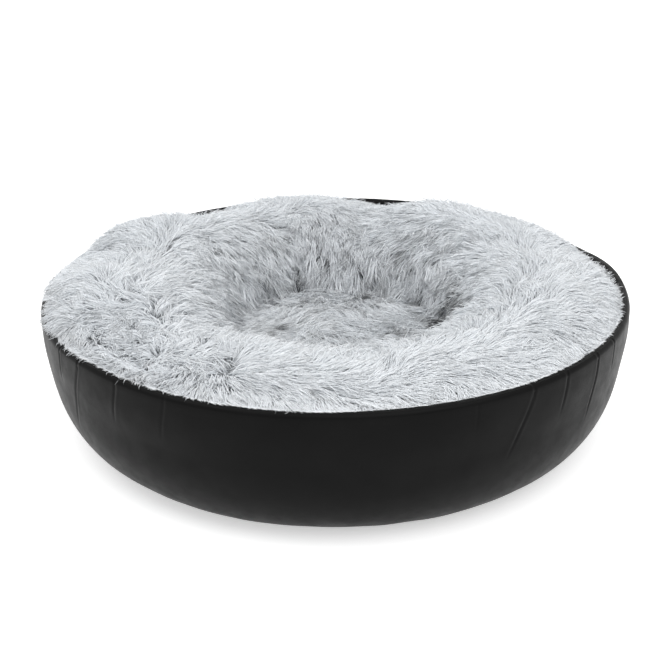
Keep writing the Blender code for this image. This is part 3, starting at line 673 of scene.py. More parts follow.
FOOT_SEAM_HEIGHT = 0.0050
ZIP_SEAM_MARGIN = 0.0030
STITCH_PITCH = 0.0048
STITCH_LENGTH = 0.0036
STITCH_RADIUS = 0.00036
COIL_WIDTH = 0.0050
COIL_HEIGHT = 0.0014
COIL_BOTTOM = -0.0004
COIL_THREAD = 0.00045
COIL_PITCH = 0.0021
COIL_END_GAP = 0.0048


# Layers of the shell and the stuffed insides of the cushion
def foam_thickness(shares):
    return FOAM_BASE_THICKNESS + (FOAM_RIM_THICKNESS - FOAM_BASE_THICKNESS) * np.asarray(shares)


def lining_depth(shares):
    return FOAM_DEPTH + foam_thickness(shares) + SEAM_GAP


def seat_profile(shares, depth):
    """(r, z) a depth inside the cushion's outer face, at shares of the bowl's profile."""
    outer = lining_depth(shares) + LINING_THICKNESS + SEAT_CLEARANCE
    r, z = bowl_profile(shares, outer + depth)
    return np.minimum(r, CUSHION_RADIUS - depth), z


def fine_profile(corners, step, ring=True):
    """A profile's corners with more points between them, no more than a step apart."""
    corners = [np.array(corner, float) for corner in corners]
    ends = corners[1:] + corners[:1] if ring else corners[1:]
    points = []
    for start, end in zip(corners, ends):
        pieces = max(1, math.ceil(np.linalg.norm(end - start) / step))
        points += [start + (end - start) * k / pieces for k in range(pieces)]
    if not ring:
        points.append(corners[-1])
    return np.array(points)


def turned_piece(name, corners, step, material, body, node,
                 ripple=0.0, wavelength=0.03, ring=True):
    """A soft layer turned round the bed, uneven by a ripple, in place of a plain node."""
    profile = fine_profile(corners, step, ring)
    angles = np.arange(0, 360, 2.0)
    points = polar(profile[:, 0], profile[:, 1], angles)
    if ring:
        way = np.roll(points, -1, axis=0) - np.roll(points, 1, axis=0)
    else:
        way = np.gradient(points, axis=0)
    off = unit(np.cross(way, ways_round(angles)[None, :, :]))
    uneven = smooth_noise(points, wavelength, len(name)) * ripple * (points[..., :1] > 0.004)[..., 0]
    points = points + off * uneven[..., None]
    waved = rim_wave(angles)[None, :] * (profile[:, 1] / RIM_HEIGHT).clip(0, 1)[:, None] ** 2
    if body == "shell":
        points[..., 2] += waved
    mesh = weld(grid_mesh(name, points, wrap_rows=ring, wrap_columns=True))
    obj = new_object(name, mesh, material, body)
    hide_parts(node)
    return obj


def make_shell_layers():
    """Rim cord, foam wall, foam floor, lining and the non-slip panel."""
    turns = np.arange(0, 360, 20.0)
    radius = RIM_WIDTH / 2 - BINDING_THICKNESS - SEAM_GAP
    circle = [(RIM_CENTRE_RADIUS + radius * math.cos(math.radians(turn)),
               RIM_CENTRE_HEIGHT + radius * math.sin(math.radians(turn))) for turn in turns]
    cord = turned_piece("rim_cord", circle, 0.004, FOAM, "shell", "rim_core")
    shares = np.linspace(0, 1, 30)
    down = list(zip(*bowl_profile(shares[::-1], FOAM_DEPTH)))
    up = list(zip(*bowl_profile(shares, FOAM_DEPTH + foam_thickness(shares))))
    wall = turned_piece("foam_wall", down + up, 0.012, FOAM, "shell", "wall_foam", 0.0001)
    radius = BASE_RADIUS - SEAM_GAP
    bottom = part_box("base_foam")[0].z
    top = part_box("base_foam")[1].z
    disc = [(0.0, top), (radius - 0.002, top), (radius, top - 0.002), (radius, bottom), (0.0, bottom)]
    pad = turned_piece("foam_floor", disc, 0.012, FOAM, "shell", "base_foam",
                       0.0001, ring=False)
    outer = list(zip(*bowl_profile(shares[::-1], lining_depth(shares[::-1]))))
    inner = list(zip(*bowl_profile(shares, lining_depth(shares) + LINING_THICKNESS)))
    cloth = [(0.0, LINING_TOP), *inner, *outer, (0.0, LINING_TOP - LINING_THICKNESS)]
    turned_piece("lining_cloth", cloth, 0.010, LINING, "shell", "inner_lining",
                 0.0001, 0.02, False)
    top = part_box("base_panel")[1].z
    panel = [(0.0, top), (radius, top), (radius, 0.0006), (radius - 0.0015, 0.0), (0.0, 0.0)]
    turned_piece("non_slip_panel", panel, 0.010, NON_SLIP, "shell", "base_panel",
                 ring=False)


def make_fillings():
    """The fibre ring of the bolster and the pad under the well's floor."""
    over = np.linspace(1, 3, 21)
    depth = FUR_THICKNESS + FILL_CLEARANCE + 0.002
    angles = np.arange(0, 360, 3.0)
    low = bowl_share(CUSHION_SEAM_HEIGHT)
    side = list(zip(*seat_profile(np.linspace(low, 0, 16), CLOTH_PUCKER + 0.003)))
    foot = (PAD_RADIUS + FILL_CLEARANCE, LINING_TOP + 0.008)
    lower = fine_profile([*side, foot], 0.010, ring=False)
    grid = skin(angles[None, :], over[:, None] + 0 * angles[None, :], depth)
    grid = np.concatenate([grid, polar(lower[:, 0], lower[:, 1], angles)])
    off = unit(grid - polar([CREST_RADIUS], [0.10], angles))
    grid = grid + off * (smooth_noise(grid, 0.035, 71) * 0.0012 - 0.0012)[..., None]
    mesh = weld(grid_mesh("fibre_ring", grid, wrap_rows=True, wrap_columns=True))
    ring = new_object("fibre_ring", mesh, FIBRE, "cushion")
    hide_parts("bolster_fill")
    low_z, high_z = (corner.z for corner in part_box("centre_fill"))
    edge = PAD_RADIUS - 0.001
    pad = [(0.0, high_z - 0.001), (edge * 0.66, high_z - 0.005), (edge - 0.006, high_z - 0.006)]
    pad += [(edge, high_z - 0.014), (edge, low_z + 0.012)]
    pad += [(edge - 0.006, low_z + 0.006), (0.0, low_z + 0.006)]
    centre = turned_piece("fibre_pad", pad, 0.010, FIBRE, "cushion", "centre_fill",
                          0.0008, ring=False)


def simulate(obj, pinned, growth, pressure, frames):
    """Let a cloth a little larger than its form settle into puckers, its pinned points held."""
    group = obj.vertex_groups.new(name="pinned")
    group.add([int(number) for number in pinned], 1.0, "REPLACE")
    cloth = obj.modifiers.new("cloth", "CLOTH")
    settings = cloth.settings
    settings.quality = 5
    settings.mass = 0.15
    settings.tension_stiffness = 20.0
    settings.compression_stiffness = 20.0
    settings.bending_stiffness = 0.6
    settings.shrink_min = -growth
    settings.vertex_group_mass = "pinned"
    settings.use_pressure = True
    settings.uniform_pressure_force = pressure
    settings.effector_weights.gravity = 0.0
    cloth.point_cache.frame_start = 1
    cloth.point_cache.frame_end = frames
    scene = bpy.context.scene
    for frame_number in range(1, frames + 1):
        scene.frame_set(frame_number)
    depsgraph = bpy.context.evaluated_depsgraph_get()
    settled = obj.evaluated_get(depsgraph).to_mesh()
    places = np.empty(len(settled.vertices) * 3, np.float32)
    settled.vertices.foreach_get("co", places)
    obj.evaluated_get(depsgraph).to_mesh_clear()
    obj.modifiers.remove(cloth)
    obj.vertex_groups.remove(group)
    scene.frame_set(1)
    return places.reshape(-1, 3).astype(float)


CLOTH_GROWTH = 0.035
CLOTH_PUCKER = 0.0060
CLOTH_FRAMES = 16


def make_cushion_cloth():
    """The thin cloth under the cushion: a sewn round bottom and a side, puckered along their seams."""
    angles = np.arange(0, 360, 1.2)
    low = bowl_share(CUSHION_SEAM_HEIGHT)
    side_r, side_z = seat_profile(np.linspace(low, 0, 26), 0.0)
    bottom_r = np.linspace(side_r[-1], 0.004, 40)[1:]
    r = np.concatenate([side_r, bottom_r])
    z = np.concatenate([side_z, np.full(len(bottom_r), side_z[-1])])
    still = polar(r, z, angles)
    way = unit(np.gradient(still, axis=0))
    outward = unit(np.cross(ways_round(angles)[None, :, :], way))
    mesh = grid_mesh("cushion_cloth", still, wrap_columns=True)
    obj = new_object("cushion_cloth", mesh, CLOTH, "cushion")
    moved = still
    rows = np.array([0, len(side_r) - 1, len(r) - 1])
    pinned = (rows[:, None] * len(angles) + np.arange(len(angles))[None, :]).ravel()
    moved = simulate(obj, pinned, CLOTH_GROWTH, -0.4, CLOTH_FRAMES).reshape(still.shape)
    shift = moved - still
    rise = (shift * outward).sum(-1, keepdims=True)
    kept = np.clip(rise, -CLOTH_PUCKER, 0.0002)
    points = still + (shift - outward * rise) * 0.5 + outward * kept
    obj.data.vertices.foreach_set("co", points.astype(np.float32).ravel())
    obj.data.update()
    solidify = obj.modifiers.new("thickness", "SOLIDIFY")
    solidify.thickness = CUSHION_CLOTH_THICKNESS
    solidify.offset = -1.0
    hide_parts("cushion_base")


# The cushion's upper side
def dip_share(angles_deg):
    total = np.zeros_like(np.asarray(angles_deg, float))
    for place, share in DIPS_DEG_AND_SHARES:
        total += share * bell(angles_deg, place, DIP_WIDTH_DEG)
    return np.minimum(total, 1.0)


def dents(x, y):
    """How far the fur's surface sinks (or, below zero, rises) at its hollows, lumps and small dents."""
    places = []
    for radius, hollows in ((OUTER_HOLLOW_RADIUS, OUTER_HOLLOWS), (INNER_HOLLOW_RADIUS, INNER_HOLLOWS)):
        places += [(angle, radius, HOLLOW_WIDTH, share * HOLLOW_DEPTH) for angle, share in hollows]
    return spots(x, y, places + list(SMALL_DENTS))


HOLLOW_DEPTH = 0.020
HOLLOW_WIDTH = 0.048
OUTER_HOLLOW_RADIUS = CREST_RADIUS + (CUSHION_RADIUS - CREST_RADIUS) * 0.63
INNER_HOLLOW_RADIUS = CREST_RADIUS - (CREST_RADIUS - WELL_RADIUS) * 0.33
OUTER_HOLLOWS = (
    (8, 0.45),
    (23, 0.20),
    (38, 0.50),
    (69, 1.00),
    (84, 0.55),
    (98, 0.30),
    (113, 0.20),
    (128, 0.75),
    (157, -0.95),
    (175, 0.20),
    (190, -0.80),
)
INNER_HOLLOWS = ((232, 0.50), (256, 0.30), (280, 0.45), (304, 0.45))
SMALL_DENTS = (
    (48, 0.300, 0.030, 0.006),
    (166, 0.300, 0.030, 0.006),
    (186, 0.226, 0.020, 0.007),
    (152, 0.205, 0.022, 0.006),
    (203, 0.270, 0.022, 0.006),
    (245, 0.275, 0.026, 0.007),
    (228, 0.310, 0.022, 0.006),
    (280, 0.305, 0.022, 0.004),
    (264, 0.250, 0.040, -0.003),
    (8, 0.250, 0.024, 0.005),
    (76, 0.318, 0.024, 0.006),
    (126, 0.318, 0.022, 0.005),
    (299, 0.180, 0.016, 0.008),
    (217, 0.169, 0.042, 0.013),
    (331, 0.176, 0.044, 0.014),
)


def swell(points):
    """The bolster's swellings: its crest dips in places, is lowest in front, and bulges inward."""
    x, y, z = np.moveaxis(points, -1, 0)
    r = np.maximum(np.hypot(x, y), 1e-9)
    angles = np.degrees(np.arctan2(y, x))
    low = (CUSHION_SEAM_HEIGHT + SHOULDER_HEIGHT) / 2
    height = smooth_step((z - low) / (CREST_HEIGHT - low))
    share = dip_share(angles)
    inner = 1 - smooth_step((r - CREST_RADIUS + BULGE_REACH) / (2 * BULGE_REACH))
    reach = smooth_step((z - WELL_FLOOR_HEIGHT) / (CREST_HEIGHT - WELL_FLOOR_HEIGHT))
    front = bell(angles, FRONT_DEG, FRONT_WIDTH_DEG)
    outward = BULGE_DEPTH * (share - 1) * (1 - front) + FRONT_OPENING * front
    outward += SIDE_OPENING * bell(angles, SIDE_DEG, SIDE_WIDTH_DEG)
    scale = 1 + outward * inner * reach / r
    drop = DIP_DEPTH * share + FRONT_SAG * ((1 - y / r) / 2) ** 2
    drop += dents(x, y)
    from_floor = np.clip((z - WELL_FLOOR_HEIGHT) / (CREST_HEIGHT - WELL_FLOOR_HEIGHT), 0, 1)
    height += (from_floor - height) * inner
    return np.stack([x * scale, y * scale, np.minimum(z - drop * height, CREST_HEIGHT)], -1)


def skin(angles_deg, places, depth):
    """Points a depth inside the cushion's upper side. Place 0 is its middle, 1 the well's foot,
    2 the bolster's crest and 3 the bowl's edge."""
    places = np.asarray(places, float)
    foot = WELL_RADIUS + depth
    base = WELL_FLOOR_HEIGHT - depth
    crest = CREST_HEIGHT - depth
    edge = CUSHION_RADIUS - min(depth, TUCKED_FUR_THICKNESS)
    climb = np.clip(places - 1, 0, 1) * math.pi / 2
    fall = np.clip(places - 2, 0, 1) * math.pi / 2
    floor_r = places * foot
    floor_z = base + WELL_FLOOR_CROWN * (1 - np.clip(places, 0, 1) ** 2)
    inner_r = CREST_RADIUS - (CREST_RADIUS - foot) * np.cos(climb)
    inner_z = base + (crest - base) * np.sin(climb)
    outer_r = CREST_RADIUS + (edge - CREST_RADIUS) * np.sin(fall)
    outer_z = SHOULDER_HEIGHT + (crest - SHOULDER_HEIGHT) * np.cos(fall)
    r = np.where(places < 1, floor_r, np.where(places < 2, inner_r, outer_r))
    z = np.where(places < 1, floor_z, np.where(places < 2, inner_z, outer_z))
    turn = np.radians(angles_deg)
    return swell(np.stack([r * np.cos(turn), r * np.sin(turn), z], -1))


def skin_frame(angles_deg, places, depth):
    """Points with their unit vectors: outward along the profile, round the bed, and off the surface."""
    step = 1e-3
    here = skin(angles_deg, places, depth)
    ahead = skin(angles_deg, np.minimum(places + step, 2.999), depth)
    behind = skin(angles_deg, np.minimum(places + step, 2.999) - 2 * step, depth)
    along = unit(ahead - behind)
    around = ways_round(angles_deg)
    return here, along, around, unit(np.cross(along, around))


# Fur
FUR_DEPTH = 0.0145
FUR_PARTS_DEG = (229, 95)
LOCK_SPACING = 0.0070
HAIR_SPACING = 0.0019
SIDES_MEET_DEG = 342
SWIRLING_LOCKS = (225, 50)
FRONT_FUR = (268, 34)
FLAT_LIP = (268, 80, 4)
SPILT_FUR = (187, 17, 4)
FRINGE_PAINTED_SHADE_PLACE = (215, 34)
EVEN_HEM = (285, 45, 4)
HAIR_LENGTH = 0.038
INNER_HAIR_MORE = 0.006
STRAY_SHARE = 0.12
STRAY_MORE_HEIGHT = 0.0065
SPILT_MORE_HEIGHT = 0.0125
LIP_FLATTENING = 0.0060
HAIR_SHADE = 0.76
TUCKED_SHADE = 0.72
# Painted shade taken off the hair's shade: on the well's floor, in the pits at its foot, in the tufts,
# at the hem, on hair cut short at the rim and on the fringe over the left rim.
FLOOR_PAINTED_SHADE = 0.24
PITS_PAINTED_SHADE = 0.7
TUFTS_PAINTED_SHADE = 0.08
HEM_PAINTED_SHADE = 0.30
CUT_PAINTED_SHADE = 0.45
FRINGE_PAINTED_SHADE = 0.38
HAIR_RINGS = 5
HAIRS_PER_PIECE = 7000
HAIR_ROOT_RADIUS = 0.00060
HAIR_TIP_SHARE = 0.30
# How far up the root-to-tip ramp a root may start, which takes off its painted root shade.
ROOT_SHADE_LIFT = 0.26
TUCKED_HAIRS = 14000
TUCKED_LENGTH = 0.013


def scatter(spacing, rng, depth):
    """Evenly jittered places over the cushion's upper side: arrays of angle and place."""
    table = np.linspace(0, 3, 601)
    line = skin(np.full_like(table, 45.0), table, depth)
    run = np.concatenate([[0], np.cumsum(np.linalg.norm(np.diff(line, axis=0), axis=1))])
    radius = np.hypot(line[:, 0], line[:, 1])
    angles = []
    places = []
    for middle in np.arange(spacing / 2, run[-1], spacing):
        count = max(3, int(round(2 * math.pi * np.interp(middle, run, radius) / spacing)))
        turn = (np.arange(count) + rng.uniform(-0.5, 0.5, count) + rng.uniform()) * 360 / count
        where = middle + rng.uniform(-0.5, 0.5, count) * spacing
        angles.append(turn)
        places.append(np.interp(where, run, table))
    return np.concatenate(angles), np.concatenate(places)


def lock_ways(angles, places, rng):
    """For each lock: its root, its direction at each ring, its length and how tightly it gathers."""
    root, along, around, off = skin_frame(angles, places, FUR_DEPTH)
    count = len(angles)
    wander = 0.12 * smooth_noise(root, 0.12, 21) + 0.12 * smooth_noise(root, 0.045, 26)
    parting = places - 2 + wander - 0.04 - 0.30 * front_share(angles)
    turn = smooth_step(parting / 1.1 + 0.5)
    on_floor = smooth_step((1.05 - places) / 0.3)
    tufted = tuft_share(angles, places)
    swirl = smooth_noise(root, 0.085, 22) * (0.32 + 0.9 * on_floor)
    inner = smooth_step((2.1 - places) / 0.3)
    swirl += smooth_noise(root, 0.030, 23) * (0.30 + 0.9 * tufted)
    swirl += rng.normal(0, 0.15, count) * (1 + 4 * tufted + 0.9 * inner)
    strayed = angles + 16 * smooth_noise(root, 0.055, 27)
    left_from = np.tanh(angle_apart(strayed, FUR_PARTS_DEG[0]) / 26)
    right_from = np.tanh(angle_apart(FUR_PARTS_DEG[1], angles) / 26)
    side = np.where(angle_apart(angles, SIDES_MEET_DEG) > 0, right_from, left_from)
    heading = math.pi * (1 - turn)
    sideways = np.sin(heading) * side + 0.5 * front_share(angles) * turn
    slope = (dip_share(angles + 3) - dip_share(angles - 3)) * 1.1 * np.clip(places - 1, 0, 1)
    still = np.clip(1 - np.hypot(np.cos(heading), sideways + slope), 0, 1)
    still = still * smooth_step((places - 1.6) / 0.3)
    still *= 0.4 + 0.6 * bell(angles, *SWIRLING_LOCKS)
    swirl += still * (2.6 * smooth_noise(root, 0.028, 28) + rng.normal(0, 0.6, count))
    bare = unit(along * np.cos(heading)[:, None] + around * (sideways + slope)[:, None] + around * 1e-3)
    cross = np.cross(off, bare)
    flow = bare * np.cos(swirl)[:, None] + cross * np.sin(swirl)[:, None]
    edge = smooth_step((places - 2.55) / 0.4)
    outer = smooth_step(parting / 0.4)
    lift = 0.66 + 0.20 * smooth_noise(root, 0.04, 24) + rng.normal(0, 0.10, count)
    lift *= (1 - 0.28 * outer) * (1 - 0.30 * edge) * (1 + 0.9 * tufted)
    directions = []
    for k in range(HAIR_RINGS):
        share = (k + 0.5) / HAIR_RINGS
        rise = lift * (1.05 - 1.0 * share)
        lay = 0.66 + 0.60 * share
        pull = np.array([0, 0, -0.36 * share])
        directions.append(unit(off * rise[:, None] + flow * lay + pull))
    length = (HAIR_LENGTH + INNER_HAIR_MORE * inner) * (1 + 0.16 * smooth_noise(root, 0.05, 25))
    length = length * rng.uniform(0.88, 1.12, count)
    length *= (1 - 0.30 * on_floor - 0.15 * edge) * (1 - 0.55 * pit_share(root)) * (1 - 0.55 * tufted)
    ways = np.stack(directions, 1)
    middle = root + ways[:, :2].sum(1) * (length / HAIR_RINGS)[:, None]
    tip = root + ways.sum(1) * (length / HAIR_RINGS)[:, None]
    length *= 1 - 0.5 * np.maximum(pit_share(middle), pit_share(tip))
    gather = 0.26 + 0.62 * inner * (1 - 0.4 * on_floor) + 0.55 * tufted * (1 - inner)
    return root, ways, length, gather


def front_share(angles):
    return bell(angles, *FRONT_FUR)


def tuft_share(angles, places):
    """Where the locks near the rim stand apart in tufts."""
    total = np.zeros_like(angles)
    for angle, width, place, reach, strength in TUFTS:
        away = (angle_apart(angles, angle) / width) ** 2 + ((places - place) / reach) ** 2
        total += strength * np.exp(-away)
    return np.minimum(total, 1.0)


def pit_share(points):
    """Where the locks part at the well's foot and leave a dark gap."""
    return np.minimum(spots(points[:, 0], points[:, 1], PITS), 1.0)


def rim_reach(angles):
    """How far the fur hangs out past the rim's inner edge, round the bed."""
    return bells(angles, RIM_REACH, PLAIN_RIM_REACH)


def apron_share(angles):
    """How high the fur stands just inside the rim: less where the photograph shows the bare rim."""
    return bells(angles, APRON_SHARES, 1.0)


PLAIN_RIM_REACH = 0.0035
APRON_SHARES = ((187, 20, 1.5), (77, 12, -1.9), (126, 11, -1.5), (8, 16, -1.2))
TUFTS = (
    (224, 13, 2.38, 0.30, 0.9),
    (234, 10, 2.72, 0.22, 0.9),
    (256, 8, 2.70, 0.18, 0.25),
    (288, 9, 2.72, 0.20, 0.6),
    (207, 8, 2.35, 0.22, 0.7),
    (150, 12, 2.20, 0.30, 0.4),
)
PITS = (
    (137, 0.131, 0.012, 0.5),
    (205, 0.138, 0.011, 0.7),
    (217, 0.150, 0.012, 0.8),
    (44, 0.112, 0.010, 0.8),
    (302.6, 0.181, 0.016, 1.0),
    (332, 0.153, 0.013, 1.0),
    (319, 0.196, 0.007, 0.5),
    (354, 0.143, 0.027, 1.0),
    (10, 0.136, 0.019, 1.0),
    (343, 0.166, 0.013, 0.8),
    (34, 0.133, 0.012, 0.8),
    (110, 0.140, 0.010, 0.7),
    (117, 0.133, 0.011, 0.8),
    (74, 0.152, 0.008, 0.5),
    (88, 0.163, 0.008, 0.5),
    (97, 0.160, 0.008, 0.5),
    (158, 0.153, 0.009, 0.6),
    (274, 0.178, 0.009, 0.4),
    (214, 0.118, 0.018, 0.5),
    (229, 0.108, 0.014, 0.4),
    (244, 0.274, 0.009, 0.7),
)
RIM_REACH = (
    (184, 24, 0.0125),
    (200, 16, 0.0050),
    (225, 18, 0.0085),
    (258, 22, 0.0036),
    (45, 12, 0.0060),
    (305, 12, 0.0020),
    (10, 17, -0.0070),
    (78, 12, -0.0060),
    (126, 12, -0.0060),
)


def make_hair_lines():
    """Every hair as its points from root to tip, with its shade and how much of the painted root shade
    is taken off.
    """
    rng = np.random.default_rng(7)
    lock_angles, lock_places = scatter(LOCK_SPACING, rng, FUR_DEPTH)
    more_angles, more_places = scatter(LOCK_SPACING * 0.6, rng, FUR_DEPTH)
    fine = rng.uniform(size=len(more_angles)) < 1.3 * tuft_share(more_angles, more_places) - 0.1
    lock_angles = np.concatenate([lock_angles, more_angles[fine]])
    lock_places = np.concatenate([lock_places, more_places[fine]])
    root, ways, length, gather = lock_ways(lock_angles, lock_places, rng)
    lock_shade = rng.normal(0.0, 0.10, len(root)) + 0.12 * smooth_noise(root, 0.04, 31)
    lock_shade = np.clip(lock_shade, -0.4, 0.4)
    tree = KDTree(len(root))
    for number, point in enumerate(root):
        tree.insert(point, number)
    tree.balance()
    angles, places = scatter(HAIR_SPACING, rng, FUR_DEPTH)
    start = skin(angles, places, FUR_DEPTH)
    lock = np.array([tree.find(point)[1] for point in start])
    count = len(start)
    stray = rng.uniform(size=count) < STRAY_SHARE
    loose = np.where(stray, 0.30, 0.10)[:, None, None]
    steps = ways[lock] + rng.normal(size=(count, 1, 3)) * loose
    steps = unit(steps + rng.normal(size=(count, HAIR_RINGS, 3)) * 0.06)
    own = length[lock] * rng.uniform(0.80, 1.08, count) * np.where(stray, 0.9, 1.0)
    run = np.cumsum(steps * (own / HAIR_RINGS)[:, None, None], axis=1)
    lines = np.concatenate([start[:, None], start[:, None] + run], axis=1)
    pull = gather[lock] * np.where(stray, 0.2, 1.0)
    shares = np.linspace(0, 1, HAIR_RINGS + 1)
    drawn = pull[:, None] * smooth_step(shares * 0.9 + 0.1)[None, :]
    lines -= (start - root[lock])[:, None, :] * drawn[..., None]
    lip = bell(angles, *FLAT_LIP)
    flat = LIP_FLATTENING * lip * smooth_step((2.15 - places) / 0.3)
    flat += bells(angles, BARE_RIM) * smooth_step((places - 1.6) / 0.3)
    inner = smooth_step((2.0 - places) / 0.4)
    tall = rng.normal(0, 0.0022, len(root))[lock] * (0.3 + 0.9 * inner)
    spilt = SPILT_MORE_HEIGHT * bell(angles, *SPILT_FUR) * smooth_step((places - 2.45) / 0.3)
    own_more = np.where(stray, STRAY_MORE_HEIGHT, rng.uniform(-0.0035, 0.0015, count))
    lines = comb(lines, own_more + tall - flat + spilt)
    # Each lock's own tone varies at random. On the well's inner wall the spread is wider, partly painted
    # shade between the locks.
    shade = HAIR_SHADE + lock_shade[lock] * (0.5 + 1.3 * inner)
    shade = shade + rng.normal(0, 0.05, count) * (1 + inner)
    # Painted shade on the well's floor and in the dark pits at its foot.
    shade -= FLOOR_PAINTED_SHADE * smooth_step((1.02 - places) / 0.2) + PITS_PAINTED_SHADE * pit_share(start)
    tufted = tuft_share(angles, places)
    # Painted shade in the tufts, between the locks.
    shade -= TUFTS_PAINTED_SHADE * tufted * rng.uniform(0, 1, len(root))[lock]
    # Painted shade at the fur's hem, where the hair lies on the rim facing the light.
    hem = smooth_step((places - 2.72) / 0.2)
    shade -= HEM_PAINTED_SHADE * hem * rng.uniform(0, 1, len(root))[lock]
    # How much of the painted root shade is taken off: some on the well's walls, all of it on the
    # bolster's top and outer side, less in the tufts and at the hem.
    root_shade_lift = 0.40 * smooth_step((places - 1.02) / 0.1) + 0.60 * smooth_step((places - 1.92) / 0.25)
    root_shade_lift *= (1 - 0.6 * tufted) * (1 - 0.7 * hem)
    lines, keep = settle(lines, rng)
    # Painted shade on hair cut short at the rim's reach, and more on short hair at the hem.
    shade -= CUT_PAINTED_SHADE * (1 - keep)
    shade -= 0.25 * hem * (keep < 0.8)
    # Painted shade on the fringe that hangs over the left rim.
    hung = smooth_step((np.hypot(lines[:, -1, 0], lines[:, -1, 1]) - 0.328) / 0.010)
    shade -= FRINGE_PAINTED_SHADE * hung * bell(angles, *FRINGE_PAINTED_SHADE_PLACE)
    drop = 0.85 * pit_share(start) + 0.6 * hem * (keep < 0.75)
    kept = (keep > 0.22) & (rng.uniform(size=count) > drop)
    low_lines = tucked_hair(rng)
    low_shade = TUCKED_SHADE + rng.normal(0, 0.06, len(low_lines))
    lines = np.concatenate([lines[kept], low_lines])
    shade = np.concatenate([shade[kept], low_shade])
    # Tucked hair keeps little of the painted root shade.
    root_shade_lifts = ROOT_SHADE_LIFT * np.concatenate([root_shade_lift[kept], 0.8 + 0 * low_shade])
    return lines, np.clip(shade, 0.02, 0.98), root_shade_lifts


def tucked_hair(rng):
    """Short flat hair on the cushion's side, pressed down where the bowl's edge holds it."""
    count = TUCKED_HAIRS
    turn = rng.uniform(0, 2 * math.pi, count)
    root_z = rng.uniform(CUSHION_SEAM_HEIGHT + 0.003, SHOULDER_HEIGHT + 0.010, count)
    shares = np.linspace(0, 1, HAIR_RINGS + 1)[None, :]
    length = TUCKED_LENGTH * rng.uniform(0.7, 1.1, (count, 1))
    roots = np.stack([0.33 * np.cos(turn), 0.33 * np.sin(turn), root_z], -1)
    lean = 0.5 * smooth_noise(roots, 0.02, 51)
    lean = lean[:, None] + rng.normal(0, 0.32, (count, 1))
    height = rng.uniform(0.35, 1.0, (count, 1)) * TUCKED_FUR_THICKNESS
    r = CUSHION_RADIUS - TUCKED_FUR_THICKNESS + height * np.sin(math.pi * 0.62 * shares) * 0.85
    z = np.maximum(root_z[:, None] - length * shares, CUSHION_SEAM_HEIGHT - 0.001 * shares)
    around = turn[:, None] + lean * length * shares / CUSHION_RADIUS
    return np.stack([r * np.cos(around), r * np.sin(around), z], -1)


def comb(lines, more):
    """Lay each hair along the cushion: what rises over its cap and its own more is pressed down."""
    angles = np.arange(0, 360, 3.0)
    places = np.linspace(0, 3, 73)
    points = skin(angles[None, :], places[:, None] + 0 * angles[None, :], FUR_DEPTH)
    numbers = np.arange(points.shape[0] * points.shape[1]).reshape(points.shape[:2])
    numbers = np.hstack([numbers, numbers[:, :1]])
    quads = np.stack([numbers[:-1, :-1], numbers[1:, :-1], numbers[1:, 1:], numbers[:-1, 1:]], -1)
    tree = BVHTree.FromPolygons(points.reshape(-1, 3).tolist(), quads.reshape(-1, 4).tolist())
    caps = np.interp(np.linspace(0, 1, lines.shape[1]), (0, 0.3, 0.7, 1), HAIR_CAPS)
    for ring in range(1, lines.shape[1]):
        for number, point in enumerate(lines[:, ring]):
            place, normal, _, _ = tree.find_nearest(point)
            height = normal.dot(Vector(point) - place)
            cap = caps[ring] + more[number]
            if height > cap:
                lines[number, ring] = place + normal * (cap + OVER_CAP_SHARE * (height - cap))
            elif height < LOWEST_HAIR:
                lines[number, ring] = place + normal * LOWEST_HAIR
    return lines


HAIR_CAPS = (0.0, 0.0060, 0.0105, 0.0120)
OVER_CAP_SHARE = 0.15
LOWEST_HAIR = 0.001
HEM_RAGGEDNESS = 0.0018
HEM_WAVES = 0.0022
PAST_REACH_SHARE = 0.12
PAST_REACH = 0.0012
HAIR_OFF_RIM = 0.0006
SUNK_DEPTH = 0.0028
BARE_RIM = ((76, 13, 0.0135), (126, 12, 0.0100), (8, 13, 0.0035))
APRON_FROM = 0.316
APRON_HEIGHT = 0.0085


